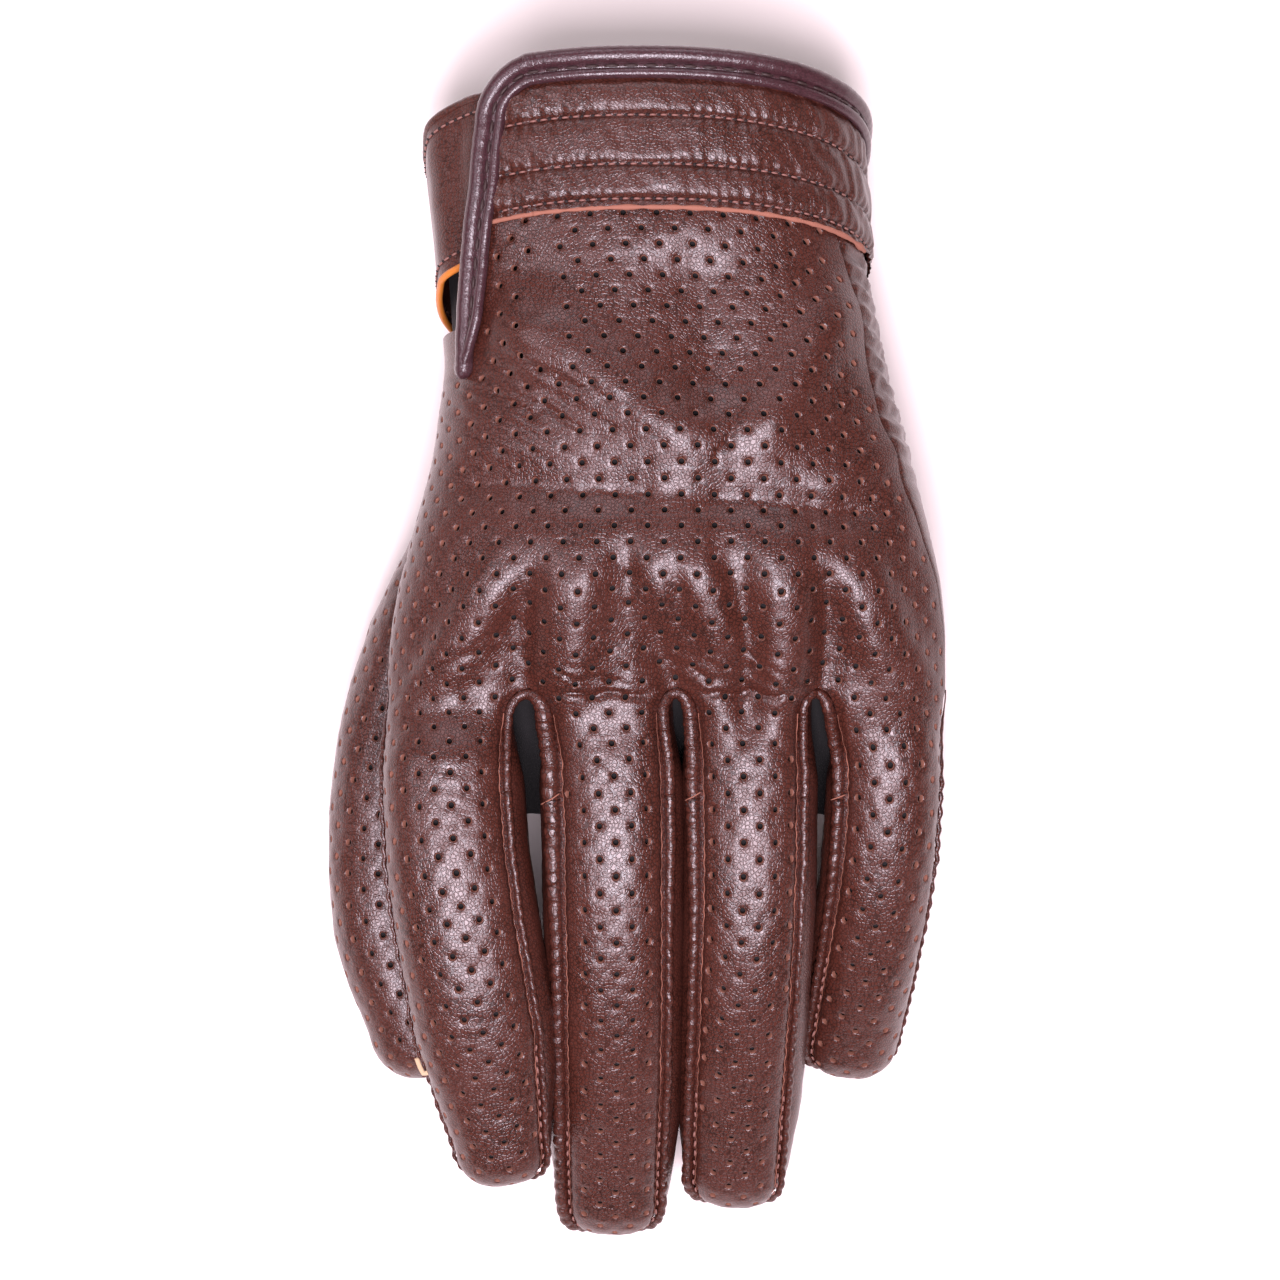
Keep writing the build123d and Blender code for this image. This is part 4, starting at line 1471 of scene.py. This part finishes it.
def finger_seam(name, form, side, sign, border):
    """The rolled seam along one side of a finger, its cut line and the stitches at its tip."""
    outer = (name, side) in (("index", "thumb_side"), ("little", "little_side"))
    radius = SEAM_ROLLS[name, side]
    v = np.arange(CROTCH - (0 if outer else CLEFT_ARCH), CROTCH - form.end_d + 1.2, -0.5)
    edge = form.edges(v)[border]
    taper = smoothstep(form.end_d + 1, form.end_d - 10, CROTCH - v)
    narrow = 1 - 0.25 * smoothstep(24, 44, CROTCH - v)
    start = smoothstep(-1, 12, CROTCH - v) if outer else 1
    sizes = np.maximum(radius * taper * narrow * start, 0.12 if outer else 0.22)
    path = beside(form, v, border, sign, sizes * ROLL_REACH, roll_sink(sizes))
    gathers = 0.09 if radius > 1.1 else 0.04
    middle = int(np.searchsorted(-v, -SPLIT)) + 1
    for part, span, bend, share in (
        ("base", slice(0, middle), knuckle_bend(name), 1),
        ("end", slice(middle - 1, None), middle_bend(name), 0.5),
    ):
        made = roll(
            f"{name}_{side}_seam_roll_{part}",
            path[span],
            sizes[span],
            "plain_leather",
            bend,
            gathers * share,
            pitch=GATHER_PITCH,
        )
        if not outer:
            line = form.place(v[span], edge[span] - sign * 0.05, -SEAM_DEPTH + 0.12)
            shown = 0.03 + 0.05 * smoothstep(-0.2, 0.8, ripples(v[span], edge[span], len(name), 9))
            cut_line = roll(f"{name}_{side}_cut_line_{part}", line, shown, "raw_edge", bend, 0.3)
    tip = (v > CROTCH - form.end_d + 3) & (v < CROTCH - form.end_d + 34)
    groove = form.place(v[tip], edge[tip] - sign * 0.1, -0.4)
    sewn = stitches(f"{name}_{side}_tip_stitches", groove, "thread", 1.3, 2.2, 0.2, middle_bend(name))


def cleft_roll(number, left_name, right_name):
    """The rolled edge round a cleft's top, from the left finger's roll to the right finger's."""
    left, right = FINGER_FORMS[left_name], FINGER_FORMS[right_name]
    size_left = SEAM_ROLLS[left_name, "little_side"]
    size_right = SEAM_ROLLS[right_name, "thumb_side"]
    turn = np.linspace(pi, 0, 40)
    share = (1 + np.cos(turn)) / 2
    size = size_left * (1 - share) + size_right * share
    arch_v = CROTCH - CLEFT_ARCH + (CLEFT_ARCH - size) * np.sin(turn)
    centre = (left.borders[1] + right.borders[0]) / 2
    arch_s = centre + (CLEFT_HALF[number] - size * ROLL_REACH) * np.cos(turn)
    arch = HAND_FORM.place(arch_v, arch_s, roll_sink(size))
    v = np.arange(CROTCH - CLEFT_ARCH, CROTCH - CLEFT_ARCH - 3.1, -0.5)
    same = np.ones(len(v))
    first = beside(left, v, 1, 1, same * size_left * ROLL_REACH, same * roll_sink(size_left))
    last = beside(right, v, 0, -1, same * size_right * ROLL_REACH, same * roll_sink(size_right))
    joined = np.linspace(0, 1, 6)[:, None]
    lead_in = first[0] * (1 - joined) + arch[3] * joined
    lead_out = arch[-4] * (1 - joined) + last[0] * joined
    path = np.vstack([first[:0:-1], lead_in[:-1], arch[3:-3], lead_out[1:], last[1:]])
    ends = len(v) + 4
    sizes = np.concatenate([np.full(ends, size_left), size[3:-3], np.full(ends, size_right)])
    name = f"{left_name}_{right_name}_cleft_roll"
    made = roll(name, path, sizes, "plain_leather", gathers=0.08, pitch=GATHER_PITCH)


def seam_tag(form):
    """The pale folded end of tape caught in the index finger's outer seam."""
    v = np.arange(CROTCH - 50, CROTCH - form.end_d + 2, -0.5)
    edge = form.place(v, form.edges(v)[0])
    root = edge[np.argmin(np.abs(edge[:, 1] + TAG_PLACE))]
    path = root + [[-1.5, 1.9, -0.2], [-0.9, 0.4, 0.2], [-0.3, -0.8, 0.3], [0.8, -0.6, 0.4], [2.2, -0.2, 0.4]]
    made = roll("index_seam_tag", path, 0.42, "pale_tape", middle_bend("index"), squash=0.6)


def wall_join(form, name):
    """The short slanting seam where two lengths of the side wall's leather are joined."""
    radius = SEAM_ROLLS[name, "thumb_side"]
    reach = np.linspace(-0.1, 2.05, 16) * radius
    v = CROTCH - 17.5 - 0.55 * reach
    bend = knuckle_bend(name)
    crown = 0.12 + radius * 0.62 * (1 - ((reach / radius) - 0.95) ** 2) - 0.25 * radius
    path = beside(form, v, 0, -1, reach, crown)
    cut_line = roll(f"{name}_wall_join_cut_line", path, 0.11, "raw_edge", bend, 0.1)
    line = beside(form, v - 0.75, 0, -1, reach, crown)
    sewn = needle_holes(f"{name}_wall_join_stitches", line, 0.95, 0.2, bend)


class GLOVE_OT_seams(bpy.types.Operator):
    """Rolled seams along the fingers and round the clefts between them"""

    bl_idname = "glove.seams"
    bl_label = "Seams"

    def execute(self, context):
        for name, form in FINGER_FORMS.items():
            finger_seam(name, form, "little_side", 1, 1)
            finger_seam(name, form, "thumb_side", -1, 0)
        seam_tag(FINGER_FORMS["index"])
        names = list(FINGER_FORMS)
        for number, (left, right) in enumerate(zip(names, names[1:])):
            cleft_roll(number, left, right)
            wall_join(FINGER_FORMS[right], right)
        return {"FINISHED"}


def hand_lining():
    """The lining of the hand, which lies deeper where the tab is."""
    angle = np.linspace(-30, 330, 180)
    under_tab = smoothstep(114, 124, angle) * (1 - smoothstep(168, 186, angle))
    top = RIM - 0.8 - 5.0 * smoothstep(120, 130, angle)
    rows = np.linspace(0, 1, 90)[:, None]
    v = CROTCH + 1.0 + (top - CROTCH - 1.0) * rows
    depth = LINING_DEPTH + TAB_DIP * under_tab * smoothstep(42, 50, v)
    points = HAND_FORM.point(v, np.broadcast_to(angle, v.shape), -depth)
    hand = piece("hand_lining_fabric", *grid_parts(points, HAND_FORM.s(v, angle), v, "lining_fabric"))
    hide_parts("hand_lining", "knuckle_guard", "palm_pad", "wrist_elastic")


def finger_lining(name, form, high, low, bend):
    """The lining under one length of perforated leather."""
    v = np.linspace(high, low, 60)[:, None]
    first, last = form.edges(v)
    s = first + (last - first) * np.linspace(0.02, 0.98, 40)
    v = np.broadcast_to(v, s.shape)
    points = form.place(v, s, -LINING_DEPTH)
    made = piece(name, *grid_parts(points, s, v, "lining_fabric"), body=bend)


class GLOVE_OT_lining(bpy.types.Operator):
    """Black lining inside the hand, fingers and thumb; the knuckle guard and palm pad are hidden"""

    bl_idname = "glove.lining"
    bl_label = "Lining"

    def execute(self, context):
        hand_lining()
        for name, form in FINGER_FORMS.items():
            end = CROTCH - form.end_d + 2.0
            finger_lining(f"{name}_lining_fabric_base", form, CROTCH, SPLIT, knuckle_bend(name))
            finger_lining(f"{name}_lining_fabric_end", form, SPLIT, end, middle_bend(name))
        end = CROTCH - THUMB_FORM.end_d + 2.0
        finger_lining("thumb_lining_fabric", THUMB_FORM, 12.0, end, THUMB_BEND)
        return {"FINISHED"}


def make_floor(context):
    """A sheet of background paper."""
    mesh = bpy.data.meshes.new("floor")
    reach = 3.0
    corners = [(-reach, -reach, 0), (reach, -reach, 0), (reach, reach, 0), (-reach, reach, 0)]
    mesh.from_pydata(corners, [], [(0, 1, 2, 3)])
    floor = bpy.data.objects.new("floor", mesh)
    context.scene.collection.objects.link(floor)
    # wood-pulp paper, uncoated: it shows soft shadows and no reflections
    paper = bpy.data.materials.new("matt white paper")
    paper.use_nodes = True
    shader = paper.node_tree.nodes["Principled BSDF"]
    shader.inputs["Base Color"].default_value = linear("#fdf4ee")
    shader.inputs["Roughness"].default_value = 0.9
    mesh.materials.append(paper)


def make_lamps(context):
    """One soft lamp overhead, towards the fingertips, and two weaker ones; powers are in watts."""
    target = Vector((0, 0, 0.03))
    for name, place, size, power, colour in (
        ("top", (0.0, -0.4, 1.3), (0.5, 0.6), 36.0, "#fbeefc"),
        ("back", (0.0, 1.1, 0.75), (1.2, 0.4), 7.0, "#fbf2ff"),
        ("left", (-0.8, 0.1, 1.0), (0.4, 0.6), 4.5, "#fbf2ff"),
    ):
        light = bpy.data.lights.new(name, "AREA")
        light.shape = "RECTANGLE"
        light.size, light.size_y = size
        light.energy = power
        light.color = linear(colour)[:3]
        lamp = bpy.data.objects.new(name, light)
        lamp.location = place
        lamp.rotation_euler = (target - Vector(place)).to_track_quat("-Z", "Y").to_euler()
        context.scene.collection.objects.link(lamp)


def make_world(context):
    """A faint warm light from all round."""
    world = bpy.data.worlds.new("studio")
    context.scene.world = world
    world.use_nodes = True
    background = world.node_tree.nodes["Background"]
    background.inputs["Color"].default_value = linear("#f8e6da")
    background.inputs["Strength"].default_value = 0.1
    # plain sRGB, so that the leathers keep the colours that the sidebar names
    context.scene.view_settings.view_transform = "Standard"


FRAME_WIDTH = 0.224  # side of the square that the camera sees, in metres
FRAME_HEIGHT = 0.042  # height over the floor at which it sees that square, in metres


def make_camera(context):
    """A camera straight above the hand's form, with a lens that fits it into the frame."""
    camera = bpy.data.objects.new("camera", bpy.data.cameras.new("camera"))
    height = round(context.scene.glove_looks.camera_height, 4)
    camera.location = (FORM_ORIGIN[0] * 0.001, FORM_ORIGIN[1] * 0.001, height)
    camera.data.lens = camera.data.sensor_width * (height - FRAME_HEIGHT) / FRAME_WIDTH
    context.scene.collection.objects.link(camera)
    context.scene.camera = camera


class GLOVE_OT_stage(bpy.types.Operator):
    """Pale floor, soft studio light and a camera straight above"""

    bl_idname = "glove.stage"
    bl_label = "Stage"

    def execute(self, context):
        make_floor(context)
        make_world(context)
        make_lamps(context)
        make_camera(context)
        return {"FINISHED"}


OPERATORS = (
    GLOVE_OT_hand,
    GLOVE_OT_fingers,
    GLOVE_OT_thumb,
    GLOVE_OT_seams,
    GLOVE_OT_cuff,
    GLOVE_OT_closure,
    GLOVE_OT_lining,
    GLOVE_OT_stage,
)


class GLOVE_PT_panel(bpy.types.Panel):
    """Lists the glove's pieces and colours"""

    bl_label = "Driving glove"
    bl_space_type = "VIEW_3D"
    bl_region_type = "UI"
    bl_category = "Glove"

    def draw(self, context):
        for name in GloveLooks.__annotations__:
            self.layout.prop(context.scene.glove_looks, name)
        for operator in OPERATORS:
            self.layout.operator(operator.bl_idname)


def register():
    for kind in (GloveLooks, *OPERATORS, GLOVE_PT_panel):
        bpy.utils.register_class(kind)
    bpy.types.Scene.glove_looks = bpy.props.PointerProperty(type=GloveLooks)


def unregister():
    del bpy.types.Scene.glove_looks
    for kind in (GLOVE_PT_panel, *reversed(OPERATORS), GloveLooks):
        bpy.utils.unregister_class(kind)


def main():
    register()
    for operator in OPERATORS:
        group, name = operator.bl_idname.split(".")
        getattr(getattr(bpy.ops, group), name)()


if __name__ == "__main__":
    main()
